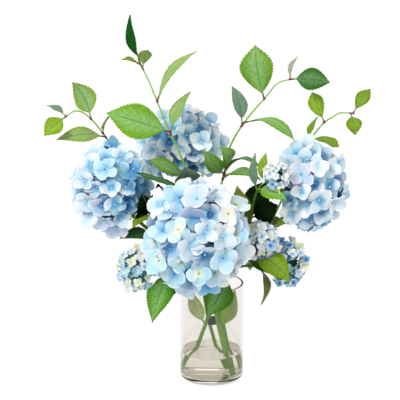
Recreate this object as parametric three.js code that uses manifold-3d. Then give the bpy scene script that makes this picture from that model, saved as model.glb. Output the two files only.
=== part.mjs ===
// Blue hydrangeas in a clear glass cylinder vase, as a three.js scene graph.
// Millimetres, +Z up. The origin is the centre of the vase's underside, and the bouquet's front faces -Y.
// The bouquet is four cut sprays. Each has one trunk that stands in the water, a large bloom, a small
// cluster of young florets, a thin leafy twig and broad toothed leaves.
import * as THREE from "three";
import { mergeVertices } from "three/addons/utils/BufferGeometryUtils.js";
import Module from "manifold-3d";

const wasm = await Module();
wasm.setup();

// Driving dimensions
const VASE_RADIUS = 50;
const VASE_HEIGHT = 157;
const VASE_WALL = 3;
const VASE_FLOOR = 8;
const VASE_FOOT_ROUND = 5;
const VASE_RIM_ROUND = 1;
const WELL_CHAMFER = 2; // where the inside wall meets the floor
const VASE_SIDES = 32;
const WATER_LEVEL = 45;
const SEAT_GAP = 0.35; // between pieces that touch

const STEM_STEP = 31; // length between two rings of a stem's facets
const TRUNK_SIDES = 6;
const BRANCH_SIDES = 4;
const LEAF_THICKNESS = 0.8;
const TEETH = [[42, 5], [26, 4], [0, 3]]; // least width of leaf, and its teeth along each edge
const WIDEST_AT = 0.42; // share of the blade's length, for most leaves
const FOOT_POWER = 0.95; // how hollow the edges run to the foot of the blade
const TIP_POWER = 1.12; // and to its tip
const TOOTH_OUT = 1.07;
const NOTCH_IN = 0.94;
const TOOTH_LEAN = 0.03; // towards the tip, as a share of the leaf's length
const WAVE_SHARE = 0.04; // ripple of the edges, as a share of the width
const WAVE_STEP = 1.9;
const STALK_LENGTH = 10;
const LONGEST_STALK_SHARE = 0.15; // of the leaf's length
const STALK_WIDTH = 2.6;
const LEAF_CLEARANCE = 4; // between a leaf and the bloom that it bends round
const DENT_EDGE = 12; // how far in from the edge of a dent leaves still keep off

const FLORET_NOTCH = 0.5; // radius between two petals, as a share of the floret's
const FLORET_EYE_DEPTH = 0.06;
const FLORET_STALK = 0.14; // half width where it meets the petals, as a share of the radius
const PETAL_THICKNESS = 1.4;
const PETAL_TWIST = 0.025; // most that a petal turns up at one corner, as a share of the radius
const PETAL_LIFT = 0.015; // most that a whole petal is raised or sunk
const LAYERS = 5; // depths that a head's florets stand at, so that overlapping petals pass clear
const LAYER_DROP = 0.12; // between two depths, as a share of the floret's radius
const CROWD_REACH = 2.05; // how far two florets crowd each other, in radii
const SETTLE_ROUNDS = 12;
const CORE_SHARE = 0.8; // the corners of the green heart of a bloom, as a share of its radii
const FLORET_DEPTH = 0.5; // of the stalk's foot under the petals, as a share of the bloom's radius
const BARE_CONE = 0.84; // cosine of the half angle round the stem that carries no florets

// Large blooms: centre, radii, the number and radius of the florets, and a seed for their places
const BLOOMS = {
  front: { centre: [-24, -90, 260], radii: [84, 72, 89], florets: 44, size: 28, seed: 11 },
  left: { centre: [-155, -30, 320], radii: [65, 58, 68], florets: 33, size: 24, seed: 23 },
  back: { centre: [-48, 80, 362], radii: [68, 60, 60], florets: 29, size: 24, seed: 37 },
  right: { centre: [151, -10, 315], radii: [58, 57, 70], florets: 31, size: 24, seed: 41 },
};

// Small clusters of young florets
const BUDS = {
  front: { centre: [75, -50, 240], radii: [27, 26, 27], florets: 18, size: 13, seed: 5 },
  left: { centre: [-116, -52, 197], radii: [31, 28, 32], florets: 20, size: 14.5, seed: 7 },
  back: { centre: [116, -20, 195], radii: [31, 30, 36], florets: 20, size: 15, seed: 9 },
  right: { centre: [96, -74, 349], radii: [20, 19, 20], florets: 15, size: 11, seed: 3 },
};

// Hollows that the leaves between the heads press into them: the middle and the radius of a ball
const DENTS = [
  { centre: [-75, -45, 275], radius: 50 },
  { centre: [-118, -100, 310], radius: 40 },
  { centre: [78, -95, 300], radius: 36 },
  { centre: [84, -30, 300], radius: 38 },
];

// Sprays: the route of each stem from its root outwards, its radius at root and end, and the leaves on it.
// A leaf has its root on the stem, its tip, its width and the way that its upper side faces. Some also say
// how far they arch, how far they fold and where along the blade they are widest, all as shares.
const SPRAYS = {
  front: {
    trunk: {
      route: [[30, -20, 9.6], [8, -14, 107], [-2, -24, 157], [-12, -48, 195], [-19, -80, 238]],
      radius: [4.6, 3.2],
      leaves: [
        { root: [14, -15, 82], tip: [36, -9, 148], width: 26, face: [0.2, -1, 0.1] },
      ],
    },
    buds: {
      route: [[-3, -27, 163], [20, -33, 184], [46, -38, 206], [69, -46, 232]],
      radius: [2.4, 1.8],
      leaves: [
        { root: [22, -33, 186], tip: [-8, -68, 122], width: 47, face: [0.2, -0.9, 0.35], arch: 0.22 },
        { root: [48, -36, 208], tip: [106, -78, 186], width: 30, face: [0.1, -0.35, 0.95] },
        { root: [58, -42, 220], tip: [120, -72, 181], width: 42, face: [0.45, -0.8, 0.4], arch: 0.22 },
      ],
    },
    twig: {
      route: [[-5, -31, 170], [-12, -4, 215], [-24, 3, 280], [-37, 2, 320], [-43, 0, 348], [-65, -4, 401],
        [-84, -8, 450], [-97, -12, 484], [-110, -16, 512]],
      radius: [2, 1],
      leaves: [
        { root: [-29, 3, 294], tip: [-115, -84, 357], width: 31, face: [-0.1, -0.45, 0.9], arch: 0.03 },
        { root: [-38, 2, 323], tip: [-97, -20, 361], width: 24, face: [0.3, -0.8, 0.6], widest: 0.6 },
        { root: [-34, 2, 312], tip: [-42, -32, 352], width: 41, face: [0, -0.9, 0.35], arch: 0.04 },
        {
          root: [-65, -4, 401], tip: [-160, -30, 437], width: 55, face: [0.1, -1, 0.35], arch: 0.06,
          widest: 0.5,
        },
        { root: [-64, -4, 398], tip: [-33, 16, 460], width: 30, face: [-0.8, -0.6, 0.3] },
        { root: [-84, -8, 450], tip: [-23, 10, 525], width: 34, face: [-0.75, -0.3, 0.6] },
        {
          root: [-110, -16, 511], tip: [-124, 0, 582], width: 26, face: [-0.75, -0.65, 0], arch: 0.06,
          fold: 0.5,
        },
        { root: [-108, -15, 507], tip: [-136, -30, 519], width: 18, face: [0, -0.3, 1] },
        { root: [-106, -14, 502], tip: [-97, -46, 536], width: 22, face: [0, 0.3, 1] },
      ],
    },
  },
  left: {
    trunk: {
      route: [[16, 22, 9.4], [-4, 11, 87], [-19, 1, 157], [-60, -8, 210], [-108, -20, 258], [-150, -28, 300]],
      radius: [3.2, 2.8],
      leaves: [
        { root: [-84, -14, 234], tip: [-142, -48, 244], width: 32, face: [-0.1, -0.45, 0.9] },
        { root: [-90, -16, 241], tip: [-120, -86, 272], width: 42, face: [-0.2, -0.5, 0.85], arch: 0.3 },
        {
          root: [-108, -20, 258], tip: [-112, -66, 320], width: 41, face: [0.3, -1, 0.1], arch: 0.02,
          widest: 0.5,
        },
        { root: [-70, -10, 221], tip: [-83, -30, 326], width: 41, face: [0.1, -1, 0.1], arch: 0.01 },
        { root: [-54, -6, 203], tip: [-106, 62, 232], width: 41, face: [-0.1, 0.4, 0.9] },
      ],
    },
    buds: {
      route: [[-24, 0, 163], [-62, -24, 180], [-108, -48, 192]],
      radius: [2.2, 1.8],
      leaves: [
        { root: [-62, -24, 180], tip: [-92, -90, 121], width: 43, face: [-0.2, -0.85, 0.5], arch: 0.2 },
        { root: [-40, -10, 171], tip: [-66, -56, 146], width: 18, face: [-0.4, -0.7, 0.6] },
      ],
    },
    twig: {
      route: [[-80, -13, 231], [-104, 20, 262], [-126, 44, 305], [-148, 46, 345], [-161, 34, 376],
        [-170, 26, 393], [-187, 20, 416], [-203, 12, 430], [-214, 6, 431], [-225, 0, 424]],
      radius: [1.9, 0.9],
      leaves: [
        { root: [-166, 29, 385], tip: [-241, 0, 388], width: 28, face: [0.1, -0.7, 0.7], arch: 0.14 },
        { root: [-170, 26, 393], tip: [-158, 56, 414], width: 20, face: [-0.9, -0.4, 0.2] },
        { root: [-188, 20, 417], tip: [-217, 42, 470], width: 42, face: [0.2, 0.95, 0.3], arch: 0.18 },
        { root: [-225, 0, 424], tip: [-257, -20, 399], width: 30, face: [-0.1, -0.95, 0.4], arch: 0.14 },
        { root: [-224, 0, 425], tip: [-256, 20, 438], width: 17, face: [0.3, -0.3, 0.9] },
      ],
    },
  },
  back: {
    trunk: {
      route: [[33, 12, 9.4], [17, 13, 90], [2, 22, 157], [-18, 42, 222], [-38, 62, 290], [-46, 76, 340]],
      radius: [3.2, 2.8],
      leaves: [
        { root: [-10, 34, 198], tip: [-74, 92, 222], width: 41, face: [-0.1, 0.45, 0.9] },
        { root: [-18, 42, 222], tip: [46, 102, 250], width: 41, face: [0.1, 0.5, 0.85] },
        { root: [0, 24, 165], tip: [-14, 88, 150], width: 41, face: [0, 0.6, 0.8], arch: 0.24 },
      ],
    },
    buds: {
      route: [[1, 24, 162], [34, 26, 172], [72, 14, 181], [108, -14, 191]],
      radius: [2.2, 1.8],
      leaves: [
        { root: [72, 14, 180], tip: [77, -34, 131], width: 22, face: [0.9, -0.5, 0.3], arch: 0.2 },
        { root: [34, 26, 172], tip: [64, 84, 150], width: 41, face: [0.3, 0.5, 0.8], arch: 0.2 },
      ],
    },
    twig: {
      route: [[-12, 36, 206], [6, 44, 270], [20, 43, 325], [28, 40, 366], [44, 36, 398], [64, 32, 426],
        [81, 30, 446], [102, 25, 472], [121, 20, 479]],
      radius: [2, 1],
      leaves: [
        { root: [19, 43, 322], tip: [-13, 8, 370], width: 28, face: [-0.3, -0.85, 0.45], arch: 0.14 },
        { root: [20, 43, 324], tip: [78, -46, 350], width: 18, face: [0.1, -0.2, 1], arch: 0.2 },
        { root: [17, 43, 315], tip: [74, -46, 336], width: 27, face: [0, -0.45, 0.9], arch: 0.12 },
        { root: [22, 42, 334], tip: [14, 24, 371], width: 32, face: [0.7, -0.7, 0.2], arch: 0.26, widest: 0.5 },
        {
          root: [81, 30, 446], tip: [66, 38, 529], width: 56, face: [-0.4, -1, 0.15], arch: 0.1,
          widest: 0.54,
        },
        { root: [47, 35, 402], tip: [31, 54, 461], width: 27, face: [0.5, -0.8, 0.2], arch: 0.16 },
        { root: [50, 35, 406], tip: [126, -12, 390], width: 28, face: [0.2, -0.3, 1], arch: 0.2, widest: 0.7 },
        { root: [121, 20, 479], tip: [180, 4, 477], width: 38, face: [0, -0.85, 0.5], widest: 0.45 },
        { root: [120, 21, 479], tip: [132, 44, 510], width: 18, face: [-0.7, -0.6, -0.3] },
      ],
    },
  },
  right: {
    trunk: {
      route: [[-37, 6, 9.4], [-10, 0, 86], [15, 3, 157], [50, 10, 205], [98, 6, 250], [144, -6, 294]],
      radius: [3.2, 2.8],
      leaves: [
        { root: [-10, 0, 86], tip: [-35, -10, 149], width: 24, face: [-0.2, -1, 0.1] },
        { root: [42, 8, 196], tip: [56, -36, 270], width: 34, face: [0.1, -0.6, 0.8] },
        { root: [76, 9, 230], tip: [118, -46, 268], width: 33, face: [0.1, -0.65, 0.75] },
                { root: [62, 10, 216], tip: [92, 72, 240], width: 41, face: [0.1, 0.5, 0.85] },
      ],
    },
    buds: {
      route: [[56, 10, 211], [60, -10, 259], [65, -36, 303], [74, -58, 331], [94, -71, 345]],
      radius: [2, 1.6],
      leaves: [
        { root: [70, -50, 322], tip: [112, -84, 313], width: 36, face: [0.2, -0.75, 0.65], arch: 0.24 },
        { root: [64, -2, 246], tip: [38, -34, 324], width: 28, face: [-0.2, -0.9, 0.3] },
        { root: [68, -8, 258], tip: [84, 34, 314], width: 42, face: [-0.3, -0.85, 0.3] },
        { root: [88, -56, 326], tip: [81, -62, 383], width: 18, face: [-0.5, -0.8, 0] },
        { root: [84, -46, 316], tip: [65, -56, 381], width: 16, face: [-0.6, -0.8, 0] },
        { root: [61, -14, 266], tip: [101, -30, 292], width: 41, face: [0.15, -0.9, 0.45], widest: 0.5 },
        { root: [68, -46, 318], tip: [100, -38, 318], width: 25, face: [0.1, -0.9, 0.4], widest: 0.5 },
      ],
    },
    twig: {
      route: [[88, 7, 242], [116, 52, 288], [132, 58, 325], [143, 36, 366], [154, 28, 383], [164, 24, 398],
        [175, 20, 412], [186, 16, 420], [197, 10, 428], [208, 6, 429], [217, 2, 429]],
      radius: [1.8, 0.9],
      leaves: [
        { root: [174, 20, 411], tip: [156, 34, 456], width: 26, face: [-0.3, -0.8, 0.3], widest: 0.6 },
        { root: [150, 30, 378], tip: [166, 46, 414], width: 15, face: [-0.8, -0.5, 0.2] },
        { root: [154, 28, 383], tip: [196, 0, 377], width: 20, face: [0, -0.6, 0.8], widest: 0.7 },
        { root: [216, 2, 429], tip: [243, 14, 465], width: 22, face: [-0.4, -0.9, 0.2], widest: 0.55 },
        { root: [213, 3, 429], tip: [219, -12, 398], width: 26, face: [0.2, -0.95, 0.2] },
      ],
    },
  },
};

// Colours, with the roughness of silk petals, waxy leaves and polished glass
const PETAL_BLUE = new THREE.MeshStandardMaterial({ color: 0xa9c9ee, roughness: 0.75, metalness: 0 });
const BUD_BLUE = new THREE.MeshStandardMaterial({ color: 0xc4d9e2, roughness: 0.75, metalness: 0 });
const LEAF_GREEN = new THREE.MeshStandardMaterial({ color: 0x4f8a2a, roughness: 0.55, metalness: 0 });
const CLEAR_GLASS = new THREE.MeshStandardMaterial({
  color: 0xf2f6f5, roughness: 0.05, metalness: 0, transparent: true, opacity: 0.3,
});
const CLEAR_WATER = new THREE.MeshStandardMaterial({
  color: 0xe9efe6, roughness: 0.02, metalness: 0, transparent: true, opacity: 0.35,
});

// Solids and meshes

const vec = (p) => new THREE.Vector3(...p);

// A closed three.js geometry as a solid.
function solid(geometry) {
  const bare = new THREE.BufferGeometry().setAttribute("position", geometry.getAttribute("position"));
  bare.setIndex(geometry.index);
  const merged = mergeVertices(bare, 1e-3);
  return new wasm.Manifold(new wasm.Mesh({
    numProp: 3,
    vertProperties: new Float32Array(merged.attributes.position.array),
    triVerts: new Uint32Array(merged.index.array),
  }));
}

// Points and triangles as a geometry.
function geometryOf(points, triangles) {
  const geometry = new THREE.BufferGeometry();
  const numbers = points.flatMap((p) => [p.x, p.y, p.z]);
  geometry.setAttribute("position", new THREE.Float32BufferAttribute(numbers, 3));
  geometry.setIndex(triangles.flat());
  return geometry;
}

function meshOf(name, part, material) {
  const made = part.getMesh();
  const geometry = new THREE.BufferGeometry();
  geometry.setAttribute("position", new THREE.BufferAttribute(new Float32Array(made.vertProperties), 3));
  geometry.setIndex(new THREE.BufferAttribute(new Uint32Array(made.triVerts), 1));
  geometry.computeVertexNormals();
  const mesh = new THREE.Mesh(geometry, material);
  mesh.name = name;
  return mesh;
}

const join = (parts) => wasm.Manifold.union(parts);

// A repeatable draw from 0 to 1.
function draws(seed) {
  let state = seed * 2654435761 >>> 0;
  return () => {
    state = (state + 0x6d2b79f5) >>> 0;
    let t = Math.imul(state ^ (state >>> 15), state | 1);
    t ^= t + Math.imul(t ^ (t >>> 7), t | 61);
    return ((t ^ (t >>> 14)) >>> 0) / 4294967296;
  };
}

// Stems

// Rings along a stem, whose radius goes evenly from its root to its end.
function ringsAlong(route, [rootRadius, endRadius]) {
  const curve = new THREE.CatmullRomCurve3(route, false, "centripetal");
  const count = Math.max(2, Math.round(curve.getLength() / STEM_STEP));
  return Array.from({ length: count + 1 }, (_, i) => ({
    centre: curve.getPointAt(i / count),
    radius: rootRadius + ((endRadius - rootRadius) * i) / count,
  }));
}

// A closed tube through rings.
function tubeSolid(rings, sides) {
  const points = [];
  const triangles = [];
  const up = new THREE.Vector3(0, 1, 0);
  rings.forEach(({ centre, radius }, i) => {
    const before = rings[Math.max(i - 1, 0)].centre;
    const after = rings[Math.min(i + 1, rings.length - 1)].centre;
    const along = after.clone().sub(before).normalize();
    const right = new THREE.Vector3().crossVectors(up, along).normalize();
    up.crossVectors(along, right);
    for (let k = 0; k < sides; k += 1) {
      const turn = (2 * Math.PI * k) / sides;
      points.push(centre.clone()
        .addScaledVector(right, radius * Math.cos(turn))
        .addScaledVector(up, radius * Math.sin(turn)));
      if (i === 0) continue;
      const [a, b] = [(i - 1) * sides + k, (i - 1) * sides + ((k + 1) % sides)];
      triangles.push([a, b, b + sides], [a, b + sides, a + sides]);
    }
  });
  const last = (rings.length - 1) * sides;
  for (let k = 1; k < sides - 1; k += 1) {
    triangles.push([0, k + 1, k], [last, last + k, last + k + 1]);
  }
  return solid(geometryOf(points, triangles));
}

// The room that a stem takes up in what it is pushed into, and a little more past its root or its end.
function roomAlong(stem, pastRoot, pastEnd) {
  const rings = stem.map(({ centre, radius }) => (
    { centre, radius: (radius + SEAT_GAP) / Math.cos(Math.PI / TRUNK_SIDES) }));
  const stretch = (ring, next, past) => {
    ring.centre = ring.centre.clone().addScaledVector(ring.centre.clone().sub(next.centre).normalize(), past);
  };
  stretch(rings[0], rings[1], pastRoot);
  stretch(rings.at(-1), rings.at(-2), pastEnd);
  return tubeSolid(rings, TRUNK_SIDES);
}

// The point on a stem's axis that is nearest to another point.
function nearestOn(stem, point) {
  const spots = stem.slice(1).map((ring, i) =>
    new THREE.Line3(stem[i].centre, ring.centre).closestPointToPoint(point, true, new THREE.Vector3()));
  return spots.reduce((best, spot) => (spot.distanceTo(point) < best.distanceTo(point) ? spot : best));
}

// Leaves

// Half width of an ovate leaf with a drawn-out tip, as a share of the widest, at a share of its length.
function ovate(share, widest) {
  return share < widest
    ? Math.sin((Math.PI / 2) * (share / widest)) ** FOOT_POWER
    : Math.sin((Math.PI / 2) * ((1 - share) / (1 - widest))) ** TIP_POWER;
}

// Moves a point of a head towards the head's centre, out of any dent.
function pressIn(point, headCentre) {
  const inwards = headCentre.clone().sub(point).normalize();
  for (const { centre, radius } of DENTS) {
    const fromDent = point.clone().sub(vec(centre));
    if (fromDent.length() >= radius) continue;
    const along = fromDent.dot(inwards);
    const way = -along + Math.sqrt(along * along - fromDent.lengthSq() + radius * radius);
    point.addScaledVector(inwards, way);
  }
}

// How far a point moves to lie clear outside the blooms and clusters, so that a leaf bends round them. In a
// dent there is less to keep clear of, and nothing in its middle.
function pushClear(point) {
  const moved = point.clone();
  for (const head of [...Object.values(BLOOMS), ...Object.values(BUDS)]) {
    const centre = vec(head.centre);
    const reach = vec(head.radii).addScalar(LEAF_CLEARANCE);
    const unit = moved.clone().sub(centre).divide(reach);
    const size = unit.length();
    if (size < 1) moved.copy(unit.multiplyScalar(1 / size).multiply(reach).add(centre));
  }
  const share = DENTS.reduce((least, { centre, radius }) => {
    const pastMiddle = (point.distanceTo(vec(centre)) - radius + DENT_EDGE) / DENT_EDGE;
    return Math.min(least, Math.max(0, pastMiddle));
  }, 1);
  return moved.sub(point).multiplyScalar(share);
}

// A leaf on its stalk: a thin blade, folded along its rib and toothed along both edges. Its rows run from
// the stem, past the foot of the blade, by a tooth and then a notch in turn, to the tip.
function leafSolid(stem, { root, tip, width, face, arch = 0.12, fold = 0.22, widest = WIDEST_AT }) {
  const start = nearestOn(stem, vec(root));
  const end = vec(tip);
  const chord = end.clone().sub(start);
  const length = chord.length();
  const across = new THREE.Vector3().crossVectors(chord, vec(face)).normalize();
  const lift = new THREE.Vector3().crossVectors(across, chord).normalize();
  const crest = start.clone().lerp(end, 0.5).addScaledVector(lift, 2 * arch * length);
  const rib = new THREE.QuadraticBezierCurve3(start, crest, end);
  const stalk = Math.min(LONGEST_STALK_SHARE, STALK_LENGTH / length);
  const lastRow = 2 * TEETH.find(([least]) => width >= least)[1] + 1;

  const points = [];
  const numbers = new Map();
  // The number of the point at a row, on the rib (hand 0) or an edge (hand 1 or -1), above or below.
  const at = (row, hand, below) => {
    const isStalk = row < 2;
    const side = row === lastRow ? 0 : hand;
    const under = isStalk && side !== 0 ? 0 : below;
    const key = `${row} ${side} ${under}`;
    if (!numbers.has(key)) {
      numbers.set(key, points.length);
      points.push(leafPoint(row, side, under, isStalk));
    }
    return numbers.get(key);
  };
  const leafPoint = (row, side, under, isStalk) => {
    const share = Math.max(0, (row - 1) / (lastRow - 1));
    const t = row === 0 ? 0 : stalk + (1 - stalk) * share;
    const tangent = rib.getTangent(t);
    const sideways = new THREE.Vector3().crossVectors(tangent, lift).normalize();
    const normal = new THREE.Vector3().crossVectors(sideways, tangent).normalize();
    const isTooth = !isStalk && row % 2 === 0;
    const cut = isTooth ? TOOTH_OUT : NOTCH_IN;
    const half = isStalk ? STALK_WIDTH / 2 : (width / 2) * ovate(share, widest) * cut;
    const thickness = isStalk ? STALK_WIDTH : LEAF_THICKNESS;
    const wave = isStalk ? 0 : WAVE_SHARE * width * Math.sin(WAVE_STEP * row + side);
    const point = rib.getPoint(t);
    if (side !== 0) {
      point.addScaledVector(sideways, side * half * Math.cos(fold));
      point.addScaledVector(normal, half * Math.sin(fold) + wave);
      if (isTooth) point.addScaledVector(tangent, TOOTH_LEAN * length);
      if (isStalk) point.addScaledVector(normal, -thickness / 2);
    }
    point.add(pushClear(point));
    return point.addScaledVector(normal, -under * thickness);
  };

  const triangles = [];
  for (const hand of [1, -1]) {
    const put = (...corners) => {
      const [a, b, c] = corners.map((corner) => at(...corner));
      if (a !== b && b !== c && a !== c) triangles.push(hand === 1 ? [a, b, c] : [a, c, b]);
    };
    const onBothFaces = (a, b, c) => {
      put([...a, 0], [...b, 0], [...c, 0]);
      put([...a, 1], [...c, 1], [...b, 1]);
    };
    onBothFaces([0, 0], [0, hand], [1, hand]);
    onBothFaces([0, 0], [1, hand], [1, 0]);
    for (let row = 1; row < lastRow; row += 2) {
      onBothFaces([row, 0], [row, hand], [row + 1, hand]);
      onBothFaces([row, 0], [row + 1, hand], [row + 2, 0]);
      onBothFaces([row + 2, 0], [row + 1, hand], [row + 2, hand]);
    }
    for (let row = 1; row < lastRow; row += 1) {
      put([row + 1, hand, 0], [row, hand, 0], [row, hand, 1]);
      put([row + 1, hand, 0], [row, hand, 1], [row + 1, hand, 1]);
    }
    put([0, hand, 0], [0, 0, 0], [0, 0, 1]);
  }
  return solid(geometryOf(points, triangles));
}

// Blooms

// One floret that faces +Z: four petals round a sunken eye, domed like the head that it sits on, over a
// stalk that tapers to a point. An outline lists each petal's points as shares of a quarter turn and radius.
const BROAD_PETAL = [[-0.27, 0.95], [0.27, 0.95], [0.5, FLORET_NOTCH]];
const YOUNG_PETAL = [[0, 1], [0.5, FLORET_NOTCH]];

function floretGeometry(petal, size, dome, draw) {
  const points = [new THREE.Vector3(0, 0, -FLORET_EYE_DEPTH * size)];
  const place = (turn, radius, height) => points.push(
    new THREE.Vector3(radius * Math.cos(turn), radius * Math.sin(turn), height));
  const quarter = Math.PI / 2;
  for (let k = 0; k < 4; k += 1) {
    const twist = PETAL_TWIST * (2 * draw() - 1);
    const lift = PETAL_LIFT * (2 * draw() - 1);
    for (const [turn, share] of petal) {
      const radius = share * size;
      const curl = Math.abs(turn) < 0.5 ? size * (lift + Math.sign(turn) * twist) : 0;
      place((k + turn) * quarter, radius, curl - (radius * radius) / (2 * dome));
    }
  }
  const ring = points.length;
  for (let k = 0; k < 4; k += 1) {
    place(k * quarter, FLORET_STALK * size, -FLORET_EYE_DEPTH * size - PETAL_THICKNESS);
  }
  const foot = points.length;
  points.push(new THREE.Vector3(0, 0, -FLORET_DEPTH * dome));

  const triangles = [];
  const edge = ring - 1;
  for (let i = 0; i < edge; i += 1) {
    const [from, to] = [1 + i, 1 + ((i + 1) % edge)];
    const under = ring + Math.floor(i / petal.length);
    triangles.push([0, from, to]);
    if (i % petal.length < petal.length - 1) {
      triangles.push([under, to, from]);
    } else {
      const underNext = ring + ((under - ring + 1) % 4);
      triangles.push([under, underNext, from], [underNext, to, from]);
    }
  }
  for (let k = 0; k < 4; k += 1) triangles.push([ring + ((k + 1) % 4), ring + k, foot]);
  return geometryOf(points, triangles);
}

// Even places over a head, apart from the cone round its stem.
function floretPlaces({ centre, radii, florets, size }, stemWay, draw) {
  const golden = Math.PI * (3 - Math.sqrt(5));
  const total = Math.round(florets / ((1 + BARE_CONE) / 2));
  const pole = new THREE.Quaternion().setFromUnitVectors(new THREE.Vector3(0, 0, -1), stemWay);
  const places = [];
  for (let i = 0; i < total; i += 1) {
    const height = 1 - (2 * (i + 0.5)) / total;
    const ringRadius = Math.sqrt(1 - height * height);
    const turn = golden * i;
    const way = new THREE.Vector3(ringRadius * Math.cos(turn), ringRadius * Math.sin(turn), height);
    way.applyQuaternion(pole);
    if (way.dot(stemWay) > BARE_CONE) continue;
    const spot = way.clone().multiply(vec(radii)).add(vec(centre));
    pressIn(spot, vec(centre));
    spot.sub(vec(centre));
    const normal = way.clone().divide(vec(radii)).normalize();
    places.push({ spot, normal, layer: 0, turn: draw() * Math.PI });
  }
  settleLayers(places, CROWD_REACH * size);
  return places;
}

// Gives each floret the depth that is least used round it, over and over until the depths settle.
function settleLayers(places, reach) {
  const nearness = (a, b) => Math.max(0, 1 - a.spot.distanceTo(b.spot) / reach) ** 2;
  for (let round = 0; round < SETTLE_ROUNDS; round += 1) {
    for (const place of places) {
      const crowding = new Array(LAYERS).fill(0);
      for (const other of places) {
        if (other !== place) crowding[other.layer] += nearness(place, other);
      }
      place.layer = crowding.indexOf(Math.min(...crowding));
    }
  }
}

// A bloom: a faceted heart with a socket for its stem, and florets all over it.
function bloomSolid(head, petal, stem) {
  const draw = draws(head.seed);
  const radii = vec(head.radii);
  const dome = (radii.x + radii.y + radii.z) / 3;
  const stemWay = stem.at(-2).centre.clone().sub(vec(head.centre)).normalize();
  const core = new THREE.IcosahedronGeometry(1, 0);
  core.scale(CORE_SHARE * radii.x, CORE_SHARE * radii.y, CORE_SHARE * radii.z);
  const parts = [solid(core)];
  for (const { spot, normal, layer, turn } of floretPlaces(head, stemWay, draw)) {
    const pose = new THREE.Matrix4().compose(
      spot.clone().addScaledVector(normal, -layer * LAYER_DROP * head.size),
      new THREE.Quaternion().setFromUnitVectors(new THREE.Vector3(0, 0, 1), normal)
        .multiply(new THREE.Quaternion().setFromAxisAngle(new THREE.Vector3(0, 0, 1), turn)),
      new THREE.Vector3(1, 1, 1),
    );
    parts.push(solid(floretGeometry(petal, head.size, dome, draw).applyMatrix4(pose)));
  }
  return join(parts).translate(head.centre).subtract(roomAlong(stem, 0, SEAT_GAP));
}

// Vase and water

function latheSolid(profile) {
  const turned = new THREE.LatheGeometry(profile.map(([r, z]) => new THREE.Vector2(r, z)), VASE_SIDES);
  return solid(turned.rotateX(Math.PI / 2));
}

function vaseSolid() {
  const foot = VASE_FOOT_ROUND * (1 - Math.SQRT1_2);
  const inner = VASE_RADIUS - VASE_WALL;
  return latheSolid([
    [0, 0],
    [VASE_RADIUS - VASE_FOOT_ROUND, 0],
    [VASE_RADIUS - foot, foot],
    [VASE_RADIUS, VASE_FOOT_ROUND],
    [VASE_RADIUS, VASE_HEIGHT - VASE_RIM_ROUND],
    [VASE_RADIUS - VASE_RIM_ROUND, VASE_HEIGHT],
    [inner + VASE_RIM_ROUND, VASE_HEIGHT],
    [inner, VASE_HEIGHT - VASE_RIM_ROUND],
    [inner, VASE_FLOOR + WELL_CHAMFER],
    [inner - WELL_CHAMFER, VASE_FLOOR],
    [0, VASE_FLOOR],
  ]);
}

function waterSolid(stems) {
  const radius = VASE_RADIUS - VASE_WALL - SEAT_GAP;
  const floor = VASE_FLOOR + SEAT_GAP;
  const block = latheSolid([
    [0, floor],
    [radius - WELL_CHAMFER, floor],
    [radius, floor + WELL_CHAMFER],
    [radius, WATER_LEVEL],
    [0, WATER_LEVEL],
  ]);
  return stems.reduce((water, hole) => water.subtract(hole), block);
}

// Assembly

const bouquet = new THREE.Group();
const holesInWater = [];

for (const [name, spray] of Object.entries(SPRAYS)) {
  const greens = [];
  const stems = {};
  for (const [branch, { route, radius, leaves }] of Object.entries(spray)) {
    const [root, ...rest] = route.map(vec);
    const isTrunk = branch === "trunk";
    const stem = ringsAlong([isTrunk ? root : nearestOn(stems.trunk, root), ...rest], radius);
    stems[branch] = stem;
    greens.push(tubeSolid(stem, isTrunk ? TRUNK_SIDES : BRANCH_SIDES));
    greens.push(...leaves.map((leaf) => leafSolid(stem, leaf)));
  }
  bouquet.add(meshOf(`stems_${name}`, join(greens), LEAF_GREEN));
  bouquet.add(meshOf(`bloom_${name}`, bloomSolid(BLOOMS[name], BROAD_PETAL, stems.trunk), PETAL_BLUE));
  bouquet.add(meshOf(`buds_${name}`, bloomSolid(BUDS[name], YOUNG_PETAL, stems.buds), BUD_BLUE));
  holesInWater.push(roomAlong(stems.trunk, VASE_FLOOR, 0));
}
bouquet.add(meshOf("vase", vaseSolid(), CLEAR_GLASS));
bouquet.add(meshOf("water", waterSolid(holesInWater), CLEAR_WATER));

export default bouquet;
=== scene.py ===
# Blue hydrangeas in a clear glass cylinder vase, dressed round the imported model's frame for Blender 4.5.
# Metres, +Z up. The origin is the centre of the vase's underside, and the bouquet's front faces -Y.
import math
import random
from collections import namedtuple

import bpy
from mathutils import Matrix, Quaternion, Vector


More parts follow.
